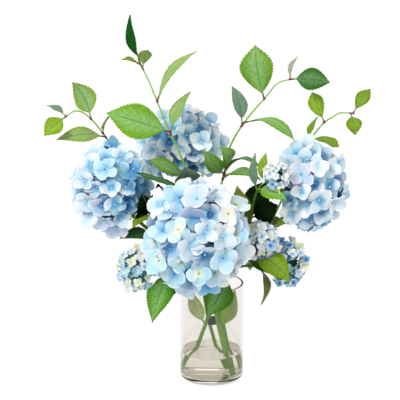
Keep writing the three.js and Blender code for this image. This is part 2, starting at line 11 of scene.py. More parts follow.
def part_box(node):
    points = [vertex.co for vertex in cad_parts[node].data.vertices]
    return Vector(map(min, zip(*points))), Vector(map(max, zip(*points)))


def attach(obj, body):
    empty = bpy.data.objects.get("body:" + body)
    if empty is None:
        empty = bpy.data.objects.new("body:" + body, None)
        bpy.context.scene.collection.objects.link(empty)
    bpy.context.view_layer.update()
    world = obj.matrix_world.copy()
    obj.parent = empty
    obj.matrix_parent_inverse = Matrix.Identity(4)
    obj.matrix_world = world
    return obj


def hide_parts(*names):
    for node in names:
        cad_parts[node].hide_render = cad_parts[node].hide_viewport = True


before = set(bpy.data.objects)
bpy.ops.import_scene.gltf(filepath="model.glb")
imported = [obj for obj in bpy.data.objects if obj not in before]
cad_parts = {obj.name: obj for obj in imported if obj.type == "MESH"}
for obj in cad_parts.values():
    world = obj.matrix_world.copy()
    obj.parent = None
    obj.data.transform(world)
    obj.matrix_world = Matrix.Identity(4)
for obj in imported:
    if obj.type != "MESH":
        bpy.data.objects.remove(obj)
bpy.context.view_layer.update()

bl_info = {
    "name": "Hydrangeas in a vase",
    "version": (1, 0, 0),
    "blender": (4, 5, 0),
    "location": "3D View > Sidebar > Hydrangeas",
    "description": "Builds a bouquet of blue hydrangeas that stands in water in a clear glass vase",
    "category": "Add Mesh",
}

MM = 0.001

# Layout of the four sprays, in millimetres. Each has a trunk that bears its bloom, a branch named buds that
# bears its young cluster, and a thin twig. The front one also has a small bract where the stems cross in the
# vase. A branch has its route from the root outwards, its radius at root and end, and its leaves. A leaf has
# its root on the stem, its tip, its width, the way that its upper side faces, its shade of green, how far it
# arches and folds along its rib, and where it is widest.
Leaf = namedtuple("Leaf", "root tip width face shade arch fold widest", defaults=(0.12, 0.22, 0.42))
Branch = namedtuple("Branch", "route radii leaves")

SPRAYS = {
    "front": {
        "trunk": Branch(
            [(30, -20, 9.6), (8, -14, 107), (-2, -24, 157), (-12, -48, 195), (-19, -80, 238)],
            (4.6, 3.2), [
                Leaf((14, -15, 82), (36, -9, 148), 26, (0.2, -1, 0.1), "young"),
            ]),
        "buds": Branch(
            [(-3, -27, 163), (20, -33, 184), (46, -38, 206), (69, -46, 232)],
            (2.4, 1.8), [
                Leaf((22, -33, 186), (-8, -68, 122), 47, (0.2, -0.9, 0.35), "vivid", arch=0.22),
                Leaf((48, -36, 208), (106, -78, 186), 30, (0.1, -0.35, 0.95), "deep"),
                Leaf((58, -42, 220), (120, -72, 181), 42, (0.45, -0.8, 0.4), "lime", arch=0.22),
            ]),
        "twig": Branch(
            [(-5, -31, 170), (-12, -4, 215), (-24, 3, 280), (-37, 2, 320), (-43, 0, 348),
             (-65, -4, 401), (-84, -8, 450), (-97, -12, 484), (-110, -16, 512)],
            (2, 1), [
                Leaf((-29, 3, 294), (-115, -84, 357), 31, (-0.1, -0.45, 0.9), "deep", arch=0.03),
                Leaf((-38, 2, 323), (-97, -20, 361), 24, (0.3, -0.8, 0.6), "fresh", widest=0.6),
                Leaf((-34, 2, 312), (-42, -32, 352), 41, (0, -0.9, 0.35), "grey", arch=0.04),
                Leaf((-65, -4, 401), (-160, -30, 437), 55, (0.1, -1, 0.35), "bright", arch=0.06, widest=0.5),
                Leaf((-64, -4, 398), (-33, 16, 460), 30, (-0.8, -0.6, 0.3), "pale"),
                Leaf((-84, -8, 450), (-23, 10, 525), 34, (-0.75, -0.3, 0.6), "pale"),
                Leaf((-110, -16, 511), (-124, 0, 582), 26, (-0.75, -0.65, 0), "forest", arch=0.06, fold=0.5),
                Leaf((-108, -15, 507), (-136, -30, 519), 18, (0, -0.3, 1), "lime"),
                Leaf((-106, -14, 502), (-97, -46, 536), 22, (0, 0.3, 1), "lime"),
            ]),
        "bract": Branch(
            [(6, -12, 104), (-5, -6, 102)],
            (1, 1), [
                Leaf((-5, -6, 102), (7, -8, 89), 17, (0, -1, 0.1), "dark", arch=0.05),
            ]),
    },
    "left": {
        "trunk": Branch(
            [(16, 22, 9.4), (-4, 11, 87), (-19, 1, 157), (-60, -8, 210), (-108, -20, 258),
             (-150, -28, 300)],
            (3.2, 2.8), [
                Leaf((-84, -14, 234), (-142, -48, 244), 32, (-0.1, -0.45, 0.9), "deep"),
                Leaf((-90, -16, 241), (-120, -86, 272), 42, (-0.2, -0.5, 0.85), "lime", arch=0.3),
                Leaf((-108, -20, 258), (-112, -66, 320), 41, (0.3, -1, 0.1), "dark", arch=0.02, widest=0.5),
                Leaf((-70, -10, 221), (-83, -30, 326), 46, (0.1, -1, 0.1), "dark", arch=0.01, widest=0.62),
                Leaf((-54, -6, 203), (-106, 62, 232), 41, (-0.1, 0.4, 0.9), "deep"),
            ]),
        "buds": Branch(
            [(-24, 0, 163), (-62, -24, 180), (-108, -48, 192)],
            (2.2, 1.8), [
                Leaf((-62, -24, 180), (-92, -90, 121), 43, (-0.2, -0.85, 0.5), "vivid", arch=0.2),
                Leaf((-40, -10, 171), (-66, -56, 146), 18, (-0.4, -0.7, 0.6), "dark"),
            ]),
        "twig": Branch(
            [(-80, -13, 231), (-104, 20, 262), (-126, 44, 305), (-148, 46, 345), (-161, 34, 376),
             (-170, 26, 393), (-187, 20, 416), (-203, 12, 430), (-214, 6, 431), (-225, 0, 424)],
            (1.9, 0.9), [
                Leaf((-166, 29, 385), (-241, 0, 388), 28, (0.1, -0.7, 0.7), "pale", arch=0.14),
                Leaf((-170, 26, 393), (-158, 56, 414), 20, (-0.9, -0.4, 0.2), "olive"),
                Leaf((-188, 20, 417), (-217, 42, 470), 42, (0.2, 0.95, 0.3), "fresh", arch=0.18),
                Leaf((-225, 0, 424), (-257, -20, 399), 30, (-0.1, -0.95, 0.4), "lime", arch=0.14),
                Leaf((-224, 0, 425), (-256, 20, 438), 17, (0.3, -0.3, 0.9), "grey"),
            ]),
    },
    "back": {
        "trunk": Branch(
            [(33, 12, 9.4), (17, 13, 90), (2, 22, 157), (-18, 42, 222), (-38, 62, 290), (-46, 76, 340)],
            (3.2, 2.8), [
                Leaf((-10, 34, 198), (-74, 92, 222), 41, (-0.1, 0.45, 0.9), "deep"),
                Leaf((-18, 42, 222), (46, 102, 250), 41, (0.1, 0.5, 0.85), "fresh"),
                Leaf((0, 24, 165), (-14, 88, 150), 41, (0, 0.6, 0.8), "fresh", arch=0.24),
            ]),
        "buds": Branch(
            [(1, 24, 162), (34, 26, 172), (72, 14, 181), (108, -14, 191)],
            (2.2, 1.8), [
                Leaf((72, 14, 180), (77, -34, 131), 22, (0.9, -0.5, 0.3), "olive", arch=0.2),
                Leaf((34, 26, 172), (64, 84, 150), 41, (0.3, 0.5, 0.8), "deep", arch=0.2),
            ]),
        "twig": Branch(
            [(-12, 36, 206), (6, 44, 270), (20, 43, 325), (28, 40, 366), (44, 36, 398), (64, 32, 426),
             (81, 30, 446), (102, 25, 472), (121, 20, 479)],
            (2, 1), [
                Leaf((19, 43, 322), (-13, 8, 370), 28, (-0.3, -0.85, 0.45), "bright", arch=0.14),
                Leaf((20, 43, 324), (78, -46, 350), 18, (0.1, -0.2, 1), "deep", arch=0.2),
                Leaf((17, 43, 315), (74, -46, 336), 27, (0, -0.45, 0.9), "bright", arch=0.12),
                Leaf((22, 42, 334), (14, 24, 371), 32, (0.7, -0.7, 0.2), "bright", arch=0.26, widest=0.5),
                Leaf((81, 30, 446), (66, 38, 529), 56, (-0.4, -1, 0.15), "bright", arch=0.1, widest=0.54),
                Leaf((47, 35, 402), (31, 54, 461), 27, (0.5, -0.8, 0.2), "grey", arch=0.16),
                Leaf((50, 35, 406), (126, -12, 390), 28, (0.2, -0.3, 1), "bright", arch=0.2, widest=0.7),
                Leaf((121, 20, 479), (180, 4, 477), 38, (0, -0.85, 0.5), "deep", widest=0.45),
                Leaf((120, 21, 479), (132, 44, 510), 18, (-0.7, -0.6, -0.3), "ash"),
            ]),
    },
    "right": {
        "trunk": Branch(
            [(-37, 6, 9.4), (-10, 0, 86), (15, 3, 157), (50, 10, 205), (98, 6, 250), (144, -6, 294)],
            (3.2, 2.8), [
                Leaf((-10, 0, 86), (-35, -10, 149), 24, (-0.2, -1, 0.1), "wan"),
                Leaf((42, 8, 196), (56, -36, 270), 34, (0.1, -0.6, 0.8), "deep"),
                Leaf((76, 9, 230), (118, -46, 268), 33, (0.1, -0.65, 0.75), "olive"),
                Leaf((62, 10, 216), (92, 72, 240), 41, (0.1, 0.5, 0.85), "deep"),
            ]),
        "buds": Branch(
            [(56, 10, 211), (60, -10, 259), (65, -36, 303), (74, -58, 331), (94, -71, 345)],
            (2, 1.6), [
                Leaf((70, -50, 322), (112, -84, 313), 36, (0.2, -0.75, 0.65), "bright", arch=0.24),
                Leaf((64, -2, 246), (38, -34, 324), 34, (-0.2, -0.9, 0.3), "olive", widest=0.5),
                Leaf((68, -8, 258), (84, 34, 314), 42, (-0.3, -0.85, 0.3), "dark"),
                Leaf((88, -56, 326), (81, -62, 383), 18, (-0.5, -0.8, 0), "lime"),
                Leaf((84, -46, 316), (65, -56, 381), 16, (-0.6, -0.8, 0), "grey"),
                Leaf((61, -14, 266), (101, -30, 292), 41, (0.15, -0.9, 0.45), "dark", widest=0.5),
                Leaf((68, -46, 318), (100, -38, 318), 25, (0.1, -0.9, 0.4), "dark", widest=0.5),
            ]),
        "twig": Branch(
            [(88, 7, 242), (116, 52, 288), (132, 58, 325), (143, 36, 366), (154, 28, 383),
             (164, 24, 398), (175, 20, 412), (186, 16, 420), (197, 10, 428), (208, 6, 429),
             (217, 2, 429)],
            (1.8, 0.9), [
                Leaf((174, 20, 411), (156, 34, 456), 26, (-0.3, -0.8, 0.3), "lime", widest=0.6),
                Leaf((150, 30, 378), (166, 46, 414), 15, (-0.8, -0.5, 0.2), "lime"),
                Leaf((154, 28, 383), (196, 0, 377), 20, (0, -0.6, 0.8), "lime", widest=0.7),
                Leaf((216, 2, 429), (243, 14, 465), 22, (-0.4, -0.9, 0.2), "lime", widest=0.55),
                Leaf((213, 3, 429), (219, -12, 398), 26, (0.2, -0.95, 0.2), "lime"),
            ]),
    },
}

# Hollows that the leaves between the heads press into them: the middle and the radius of a ball, in mm
DENTS = (
    ((-75, -45, 275), 50),
    ((-118, -100, 310), 40),
    ((78, -95, 300), 36),
    ((84, -30, 300), 38),
)

# Shades of leaf: its green, and the strength of its yellow-green margin
SHADES = {
    "fresh": ("679440", 0.9),
    "vivid": ("4e8e0a", 1.0),
    "bright": ("76a848", 0.9),
    "lime": ("7c9e04", 0.6),
    "olive": ("747e10", 0.5),
    "pale": ("94b268", 0.5),
    "deep": ("306a20", 0.8),
    "forest": ("004a04", 0.2),
    # The next green is near black: painted shade for the leaves deep in the bunch between the blooms
    "dark": ("082004", 0.1),
    "grey": ("74927a", 0.3),
    "ash": ("b4bca8", 0.1),
    # The two last greens are lightened: painted light for the two leaves in the vase, which the glass keeps
    # from the lamps
    "young": ("9ccc10", 0.3),
    "wan": ("dcf29a", 0.2),
}

# How a leaf is cut, in shares of its own length and width. A pair is the range that each leaf draws from.
FOOT_POWER = 0.95  # how hollow its edges run to the foot
TIP_POWER = 1.12  # and to the tip
TOOTH_OUT = 0.05
TOOTH_IN = 0.035
TOOTH_LEAN = 0.012
EDGE_POWER = 8  # keeps the teeth to the very edge
TOOTH_SPACING = 4.2  # mm along the edge of a blade
FEWEST_TEETH = 6
BLADE_COLUMNS = 10
SIDE_VEINS = 8
VEIN_SLANT = 0.3
RIB_ROUNDING = 0.02  # how softly the two halves of a blade meet at the rib
EDGE_DROOP = 0.12
QUILT_RISE = 0.05
RIPPLE = (0.02, 0.045)
RIPPLES_ALONG = 9  # radians from foot to tip
RIPPLES_APART = 1.2  # radians that the ripples of each half are moved along
LEAF_TONES = (0.85, 1.12)
SAME_PLACE = 0.02 * MM  # points of a blade that are nearer than this become one

# How a leaf stands on its stem
LONGEST_STALK_SHARE = 0.15
STALK_LENGTH = 10  # mm
LEAF_CLEARANCE = 4  # mm between a leaf and the bloom that it bends round
DENT_EDGE = 12  # mm in from the edge of a dent where leaves still keep off
RIB_STEPS = 12
RIB_REACH = 0.97  # share of the leaf that its rib runs along
RIB_TAPER = 0.8
SLIMMEST_RIB = 0.65
FULL_LEAF_WIDTH = 40  # mm, of a leaf whose stalk has the full radius

# Colours of a leaf, in linear RGB, that go over its own green
# The first is a pale painted sheen over the middle of an upper side
PAINTED_SHEEN = (0.4, 0.58, 0.32, 1)
MARGIN_TINT = (0.8, 0.84, 0.08, 1)
VEIN_TINT = (0.35, 0.6, 0.3, 1)
UNDERSIDE_VEIN_TINT = (0.42, 0.85, 0.18, 1)
UNDERSIDE_BLOOM = 0.38  # how much of the underside's colour is its bloom

# Stems, ribs and stalks are tubes, each with the name of its skin. The bark is the skin of a kind of branch.
Tube = namedtuple("Tube", "points radii skin")
BARKS = {"trunk": "stem", "buds": "branch", "twig": "twig", "bract": "branch"}
STEM_UNEVENNESS = (0.94, 1.06)
TUBE_ROUNDNESS = 2
# The swollen joint of a twig: mm along the twig, and how many times as thick as the twig
TWIG_JOINT = ((-3, 1.02), (-1.6, 1.35), (0, 1.5), (1.6, 1.35), (3, 1.02))
# And its end on the leaf's stalk: share of the leaf, and how many times as thick as the stalk
STALK_JOINT = ((0, 1.12), (0.03, 1.12), (0.06, 1.12), (0.09, 0.8))

# How a petal is cut, in shares of its own length and width. A pair is the range that each petal draws from.
PETAL_WIDEST_AT = 0.62
PETAL_CLAW = 0.12
PETAL_SHOULDER = 0.85  # the lower, the fuller
PETAL_ROUNDING = 0.5
PETAL_CORNER = 0.98  # the nearer to 1, the rounder its far corners
PETAL_THICKNESS = 0.5 * MM
PETAL_VEINS = 9
PETAL_TIP = (-0.04, 0.05)  # from a little notched to a little pointed
RUFFLE = (0.05, 0.12)
RUFFLES_ACROSS = 3.2  # radians from the middle of a petal to its edge
RUFFLES_ALONG = 1.5  # radians from its foot to its tip
CRIMP = (0.01, 0.035)
CRIMPS_ACROSS = 5.5
FALL = (0.05, 0.25)
FALL_POWER = 2.2
TWIST = (-0.18, 0.18)
CUP = (0.05, 0.4)
PETAL_TONES = (0.84, 1.06)
TONE_POWERS = (1.6, 1, 0.5)  # darker petals are bluer ones

# How a floret is put together, in shares of its radius. A pair is a range again, but for the stalk's radii.
FLORET_OPENING = (0.4, 1.4)  # times the usual openness
PITCH_SPREAD = (-0.5, 0.5)  # of the same, from petal to petal
PETAL_SIZES = (0.9, 1.08)
OVERLAP_PITCH = 0.07  # radians that every second petal rises to pass over its neighbours
TURN_SPREAD = (-0.12, 0.12)  # radians
EYE_SIZE = 0.07
EYE_RISE = 0.8  # share of the eye's own radius
FLORET_STALK = 0.9
FLORET_STALK_RADII = (0.7 * MM, 1.3 * MM)  # at its root and under the petals

# Kinds of floret: how many are shaped, the columns and rows of faces in a petal, its half width as a share
# of the floret's radius, and its openness, the usual angle in degrees that its petals rise from its plane
Florets = namedtuple("Florets", "shapes faces width_share openness")
FLORETS = {
    "outer": Florets(8, (6, 4), 0.5, 24),
    "inner": Florets(3, (3, 3), 0.5, 20),
    "young": Florets(6, (4, 3), 0.46, 28),
}

# A layer of florets: their kind, how many there are as a share of the head's count, how far out they lie as
# a share of its radius, and how far their colours go towards that of the inner florets, as painted shade
Layer = namedtuple("Layer", "florets share reach darkness")

# How a head is covered: its layers, how far each depth sinks a floret as a share of its radius and how much
# it darkens it as painted shade, the range of sizes, the share of the head's radius at which petals begin to
# take on the deep tint of painted shade, that tint in linear RGB, and the size of the bed of stalks
HeadStyle = namedtuple("HeadStyle", "layers depth_step depth_shade sizes shallow deep_tint bed_share")
BLOOM = HeadStyle(
    layers=(Layer("outer", 1.0, 0.9, 0.0), Layer("inner", 0.95, 0.79, 0.45), Layer("inner", 0.6, 0.64, 0.7)),
    depth_step=0.12, depth_shade=0.05, sizes=(0.85, 1.12), shallow=0.9, deep_tint=(0.08, 0.32, 0.68, 1),
    bed_share=0.62)
CLUSTER = HeadStyle(
    layers=(Layer("young", 1.0, 1.0, 0.0), Layer("young", 0.6, 0.72, 0.4)),
    depth_step=0.14, depth_shade=0.0, sizes=(0.7, 1.2), shallow=0.84, deep_tint=(0.06, 0.34, 0.42, 1),
    bed_share=0.55)
# Painted shade: petals this much farther in than its start have all of the deep tint
SHADE_REACH = 0.22  # how much farther in than that start petals have all of the deep tint

# How florets are laid over a head
GOLDEN_TURN = math.pi * (3 - math.sqrt(5))
BARE_CONE = 0.84  # cosine of the half angle round the stem that carries no florets
DEPTHS = 5
SETTLE_ROUNDS = 10
CROWDING_REACH = 2.05  # floret radii within which two florets crowd each other
LIGHT_WAY = Vector((0, -0.95, 0.3)).normalized()
LIGHT_PULL = 0.7
LIGHT_LIMIT = 0.6  # cosine, past the edge of the lit side, from which florets don't turn to the light
MOST_LEAN = math.radians(32)
KNOB_HEIGHT = 0.06

# The colours of a floret at its heart, over its petals and at its eye, as names of settings
BLOOM_KINDS = (
    ("pale", "white", "white"),
    ("cream", "white", "eye"),
    ("cream", "pale", "eye"),
    ("blue", "white", "white"),
    ("blue", "pale", "eye"),
    ("blue_heart", "blue", "white"),
    ("pale", "lilac", "blue_heart"),
)
CLUSTER_KINDS = (
    ("cream", "cream", "eye"),
    ("cream", "white", "cream"),
    ("cream", "blue", "eye"),
    ("blue", "white", "eye"),
    ("deep", "blue", "eye"),
)
# How often each of those kinds comes up in the front bloom and in the others
FRONT_MIX = (6, 5, 3, 4, 2, 0.5, 1.4)
SIDE_MIX = (7, 0.6, 0.3, 7, 3, 1.2, 1.2)
# Of each cluster: how full it is, the size of its florets, and how often each kind comes up
CLUSTERS = {
    "left": (1.0, 1.0, (6, 6, 2, 1, 0.3)),
    "right": (0.7, 0.8, (0.5, 2.5, 0, 4, 2)),
    "front": (1.1, 1.0, (0.3, 3, 0.5, 5, 1.5)),
    "back": (1.0, 1.0, (1, 2, 2, 3, 3)),
}

# Glass and water
SIDES_ROUND = 96
INSIDE_ROUNDING = 2 * MM
WATER_OVERLAP = 0.05 * MM  # into the glass, so that no film of air is left between them
# Of each ring of the climbing edge: mm farther in from the glass, and mm down
WATER_CLIMB = ((0.5, 0.6), (0.8, 0.35), (1.4, 0.15))
LOOKS_UP = 0.9  # cosine from upright
SAME_HEIGHT = 0.01 * MM

# Floor and light, and the camera, which stands where the photograph's did
WHITE = (1, 1, 1, 1)
FLOOR_SIZE = 12
FLOOR_GLOW = 0.95
AIR_FILM = 0.3 * MM  # a vase's foot is a little hollow, so air stays between it and the floor
SKY_STRENGTH = 0.78
LIT_POINT = Vector((0, 0, 0.28))
# Of each lamp: its place, its size and its watts
LAMPS = {
    "key_light": ((-1.1, -1.6, 1.9), 0.8, 44),
    "fill_light": ((1.6, -1.2, 1.1), 1.2, 4),
    "back_light": ((0.3, 1.6, 1.5), 1.2, 4),
}
CAMERA_LENS = 140.6  # mm, with the sensor's width
SENSOR_WIDTH = 36
CAMERA_PLACE = (-0.0186, -2.345, 0.942)
CAMERA_PITCH = 15.5  # degrees below level


def linear(hex_colour):
    """An sRGB hex colour as a linear RGBA tuple."""
    channels = [int(hex_colour[i:i + 2], 16) / 255 for i in (0, 2, 4)]
    return tuple(c / 12.92 if c <= 0.04045 else ((c + 0.055) / 1.055) ** 2.4 for c in channels) + (1.0,)


def blend_colours(first, second, share):
    return tuple(a + (b - a) * share for a, b in zip(first, second))


# Settings, shown in the sidebar

def length_setting(name, description, default, low=0.0):
    return bpy.props.FloatProperty(name=name, description=description, default=default, min=low,
                                   unit="LENGTH", subtype="DISTANCE", precision=4)


def colour_setting(name, description, hex_colour):
    return bpy.props.FloatVectorProperty(name=name, description=description, default=linear(hex_colour),
                                         size=4, min=0, max=1, subtype="COLOR")


class HydrangeaVaseSettings(bpy.types.PropertyGroup):
    radius: length_setting("Radius", "Outside radius of the glass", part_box("vase")[1].x)
    height: length_setting("Height", "Height of the rim over the table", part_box("vase")[1].z)
    wall: length_setting("Wall", "Thickness of the glass wall", 3 * MM)
    floor: length_setting("Floor", "Thickness of the glass under the water", 8 * MM)
    foot_round: length_setting("Foot rounding", "Radius of the outside edge at the foot", 5 * MM)
    rim_round: length_setting("Rim rounding", "Radius of the fire-polished rim", 1 * MM)
    water_level: length_setting("Water level", "Height of the water over the table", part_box("water")[1].z)
    tint: colour_setting("Glass tint", "Colour that the glass gives what is seen through it", "f4f1ed")


class HydrangeaBloomSettings(bpy.types.PropertyGroup):
    front_florets: bpy.props.IntProperty(
        name="Front florets", description="Outer florets of the front bloom", default=70, min=1)
    side_florets: bpy.props.IntProperty(
        name="Side florets", description="Outer florets of each other bloom", default=56, min=1)
    front_floret_radius: length_setting("Front floret", "Radius of a floret of the front bloom", 23.5 * MM)
    side_floret_radius: length_setting("Side floret", "Radius of a floret of the other blooms", 19.5 * MM)
    white: colour_setting("White petal", "Palest petals", "e2effb")
    pale: colour_setting("Pale petal", "Most petals of the front bloom", "c0e0f6")
    blue: colour_setting("Blue petal", "Bluest petals", "8fc6ea")
    lilac: colour_setting("Lilac petal", "Petals with a violet cast", "d2daf3")
    blue_heart: colour_setting("Blue heart", "Heart of the bluest florets", "58aae6")
    # Painted shade: the dark blue that florets deep in a head go towards
    deep: colour_setting("Inner petal", "Petals deep in a head", "1f5c9c")
    cream: colour_setting("Cream heart", "Foot of the petals round the eye", "eef4d2")
    eye: colour_setting("Blue eye", "Bead in the middle of a floret", "2f96ee")


class HydrangeaClusterSettings(bpy.types.PropertyGroup):
    florets: bpy.props.IntProperty(
        name="Florets", description="Young florets of a full small cluster", default=36, min=1)
    floret_radius: length_setting("Floret radius", "Radius of a young floret", 9.5 * MM)
    cream: colour_setting("Cream", "Youngest florets", "eef4cc")
    white: colour_setting("White", "White florets", "ecf5fd")
    blue: colour_setting("Blue", "Florets that have turned blue", "a4cdf4")
    deep: colour_setting("Deep blue", "Heart of the bluest florets", "3f74c4")
    # Painted shade: the dark teal that florets deep in a cluster go towards
    inner: colour_setting("Inner floret", "Florets deep in a cluster", "2c6478")
    eye: colour_setting("Blue eye", "Bead in the middle of a young floret", "2f96dc")


class HydrangeaLeafSettings(bpy.types.PropertyGroup):
    thickness: length_setting("Thickness", "Thickness of a leaf", 0.6 * MM)
    stalk_radius: length_setting("Stalk radius", "Radius of a leaf's stalk at its root", 1.3 * MM)
    underside: colour_setting("Underside", "Bloom that pales the underside", "a3b892")
    # Brighter than the twigs: painted light for the main stems in the vase, which the glass keeps from the
    # lamps
    stem: colour_setting("Stem", "Bark of the main stems", "7cb41a")
    twig: colour_setting("Twig", "Bark of the young twigs", "7db040")
    # A darker copy of the bark: painted shade on the branches that run under the blooms
    branch: colour_setting("Branch", "Bark of the branches that bear the young clusters", "3f6e1c")
    joint: colour_setting("Joint", "Red-brown skin at the joints of the twigs", "7a3430")


# Materials

def node(tree, kind, inputs=(), stops=(), **settings):
    """Adds a node with its settings, its input values or links, and the stops of a colour ramp."""
    made = tree.nodes.new(kind)
    for name, value in settings.items():
        setattr(made, name, value)
    for socket, value in dict(inputs).items():
        if isinstance(value, bpy.types.NodeSocket):
            tree.links.new(value, made.inputs[socket])
        else:
            made.inputs[socket].default_value = value
    for number, (place, colour) in enumerate(stops):
        elements = made.color_ramp.elements
        element = elements[number] if number < 2 else elements.new(place)
        element.position = place
        element.color = colour
    return made


def maths(tree, operation, *values):
    """The result for numbers or links, in the order that the operation takes them."""
    return node(tree, "ShaderNodeMath", dict(enumerate(values)), operation=operation).outputs[0]


def mapped(tree, value, low, high, new_low=0.0, new_high=1.0, smooth=False):
    """The value, with the range from low to high mapped to the new one and cut off at its ends."""
    return node(tree, "ShaderNodeMapRange", {0: value, 1: low, 2: high, 3: new_low, 4: new_high},
                interpolation_type="SMOOTHSTEP" if smooth else "LINEAR").outputs[0]


def mixed(tree, share, first, second, blend_type="MIX"):
    """A colour that goes from the first to the second. The node's own sockets for colours are 6, 7 and 2."""
    return node(tree, "ShaderNodeMix", {0: share, 6: first, 7: second}, data_type="RGBA",
                blend_type=blend_type).outputs[2]


def multiplied(tree, colour, tint, share=1.0):
    return mixed(tree, share, colour, tint, "MULTIPLY")


def noise(tree, grain, detail=2.0):
    """Clouds about as large as the grain, in metres."""
    return node(tree, "ShaderNodeTexNoise", {"Scale": 1 / grain, "Detail": detail}).outputs[0]


def carried(tree, name):
    """A colour that the mesh carries at its points."""
    return node(tree, "ShaderNodeAttribute", attribute_name=name).outputs[0]


def place_on_blade(tree):
    """How far across and along a petal or a leaf a point lies, from 0 to 1."""
    uv = node(tree, "ShaderNodeUVMap", uv_map="UVMap")
    place = node(tree, "ShaderNodeSeparateXYZ", {0: uv.outputs[0]})
    return place.outputs[0], place.outputs[1]


def bumped(tree, height, strength, distance, invert=False, **under):
    """A relief as high as its distance, in metres. A relief that lies under it is given as its Normal."""
    inputs = {"Strength": strength, "Distance": distance, "Height": height, **under}
    return node(tree, "ShaderNodeBump", inputs, invert=invert).outputs[0]


def new_material(name, **shader_values):
    """An empty material with a Principled shader, whose uniform values are set on its own sockets."""
    made = bpy.data.materials.new(name)
    made.use_nodes = True
    shader = made.node_tree.nodes["Principled BSDF"]
    for socket, value in shader_values.items():
        shader.inputs[socket.replace("_", " ")].default_value = value
    return made, made.node_tree, shader


def head_materials(kind, stalk_hex, bed):
    return {
        "petal": petal_material(f"{kind} petal"),
        "eye": eye_material(f"{kind} flower eye"),
        "stalk": plain_material(f"{kind} flower stalk", stalk_hex, roughness=0.6, grain=4 * MM, spread=0.2),
        # The bed of stalks is dark: painted shade between the florets
        "bed": bed,
    }


def petal_material(name):
    """Fresh petal, grown: soft and matt, with a heart of its own colour that runs out along the veins, a
    paler margin and faint fanned veins. Each floret brings its two colours with it, and deep in a head these
    and the tone carry painted shade."""
    made, tree, shader = new_material(name, Roughness=0.7, Specular_IOR_Level=0.2, Subsurface_Weight=0.35,
                                      Subsurface_Scale=5 * MM, Subsurface_Radius=(0.1, 0.4, 1.0))
    across, along = place_on_blade(tree)
    off_vein = maths(tree, "PINGPONG", maths(tree, "MULTIPLY", across, float(PETAL_VEINS)), 0.5)
    run_out = maths(tree, "MULTIPLY_ADD", off_vein, 0.22, along)
    outwards = maths(tree, "MULTIPLY_ADD", noise(tree, 8 * MM), 0.4, run_out)
    past_heart = mapped(tree, outwards, 0.38, 0.82, smooth=True)
    body = mixed(tree, past_heart, carried(tree, "heart"), carried(tree, "petal"))
    margin = mapped(tree, along, 0.7, 1.0, 0.0, 0.35, smooth=True)
    edged = mixed(tree, margin, body, WHITE)
    vein = mapped(tree, off_vein, 0.0, 0.16, 0.88, 1.0)
    # The tone is each petal's random tone, with painted shade for the petals deep in the head
    veined = multiplied(tree, multiplied(tree, edged, carried(tree, "tone")), vein)
    tree.links.new(veined, shader.inputs["Base Color"])
    fine = bumped(tree, vein, 0.25, 0.4 * MM)
    crumpled = bumped(tree, noise(tree, 5 * MM), 0.6, 1.5 * MM, Normal=fine)
    tree.links.new(crumpled, shader.inputs["Normal"])
    return made


def eye_material(name):
    """The bead in the middle of a floret: moist and smooth, in the floret's own eye colour, mottled."""
    made, tree, shader = new_material(name, Roughness=0.35)
    mottle = mapped(tree, noise(tree, 1.5 * MM), 0.3, 0.7, 0.8, 1.0)
    tree.links.new(multiplied(tree, carried(tree, "eye"), mottle), shader.inputs["Base Color"])
    return made


def plain_material(name, hex_or_colour, roughness, grain, spread):
    """A grown skin, dull and of one colour. It is mottled darker and lighter by the spread, in spots as
    large as the grain, in metres, and a little uneven."""
    made, tree, shader = new_material(name, Roughness=roughness, Specular_IOR_Level=0.2)
    colour = linear(hex_or_colour) if isinstance(hex_or_colour, str) else tuple(hex_or_colour)
    mottle = noise(tree, grain, detail=3.0)
    dark = blend_colours(colour, (0, 0, 0, 1), spread)
    light = [min(1, channel * (1 + spread)) for channel in colour[:3]] + [1]
    ramp = node(tree, "ShaderNodeValToRGB", {0: mottle}, stops=((0.3, dark), (0.7, light)))
    tree.links.new(ramp.outputs[0], shader.inputs["Base Color"])
    tree.links.new(bumped(tree, mottle, 0.3, 0.5 * MM), shader.inputs["Normal"])
    return made


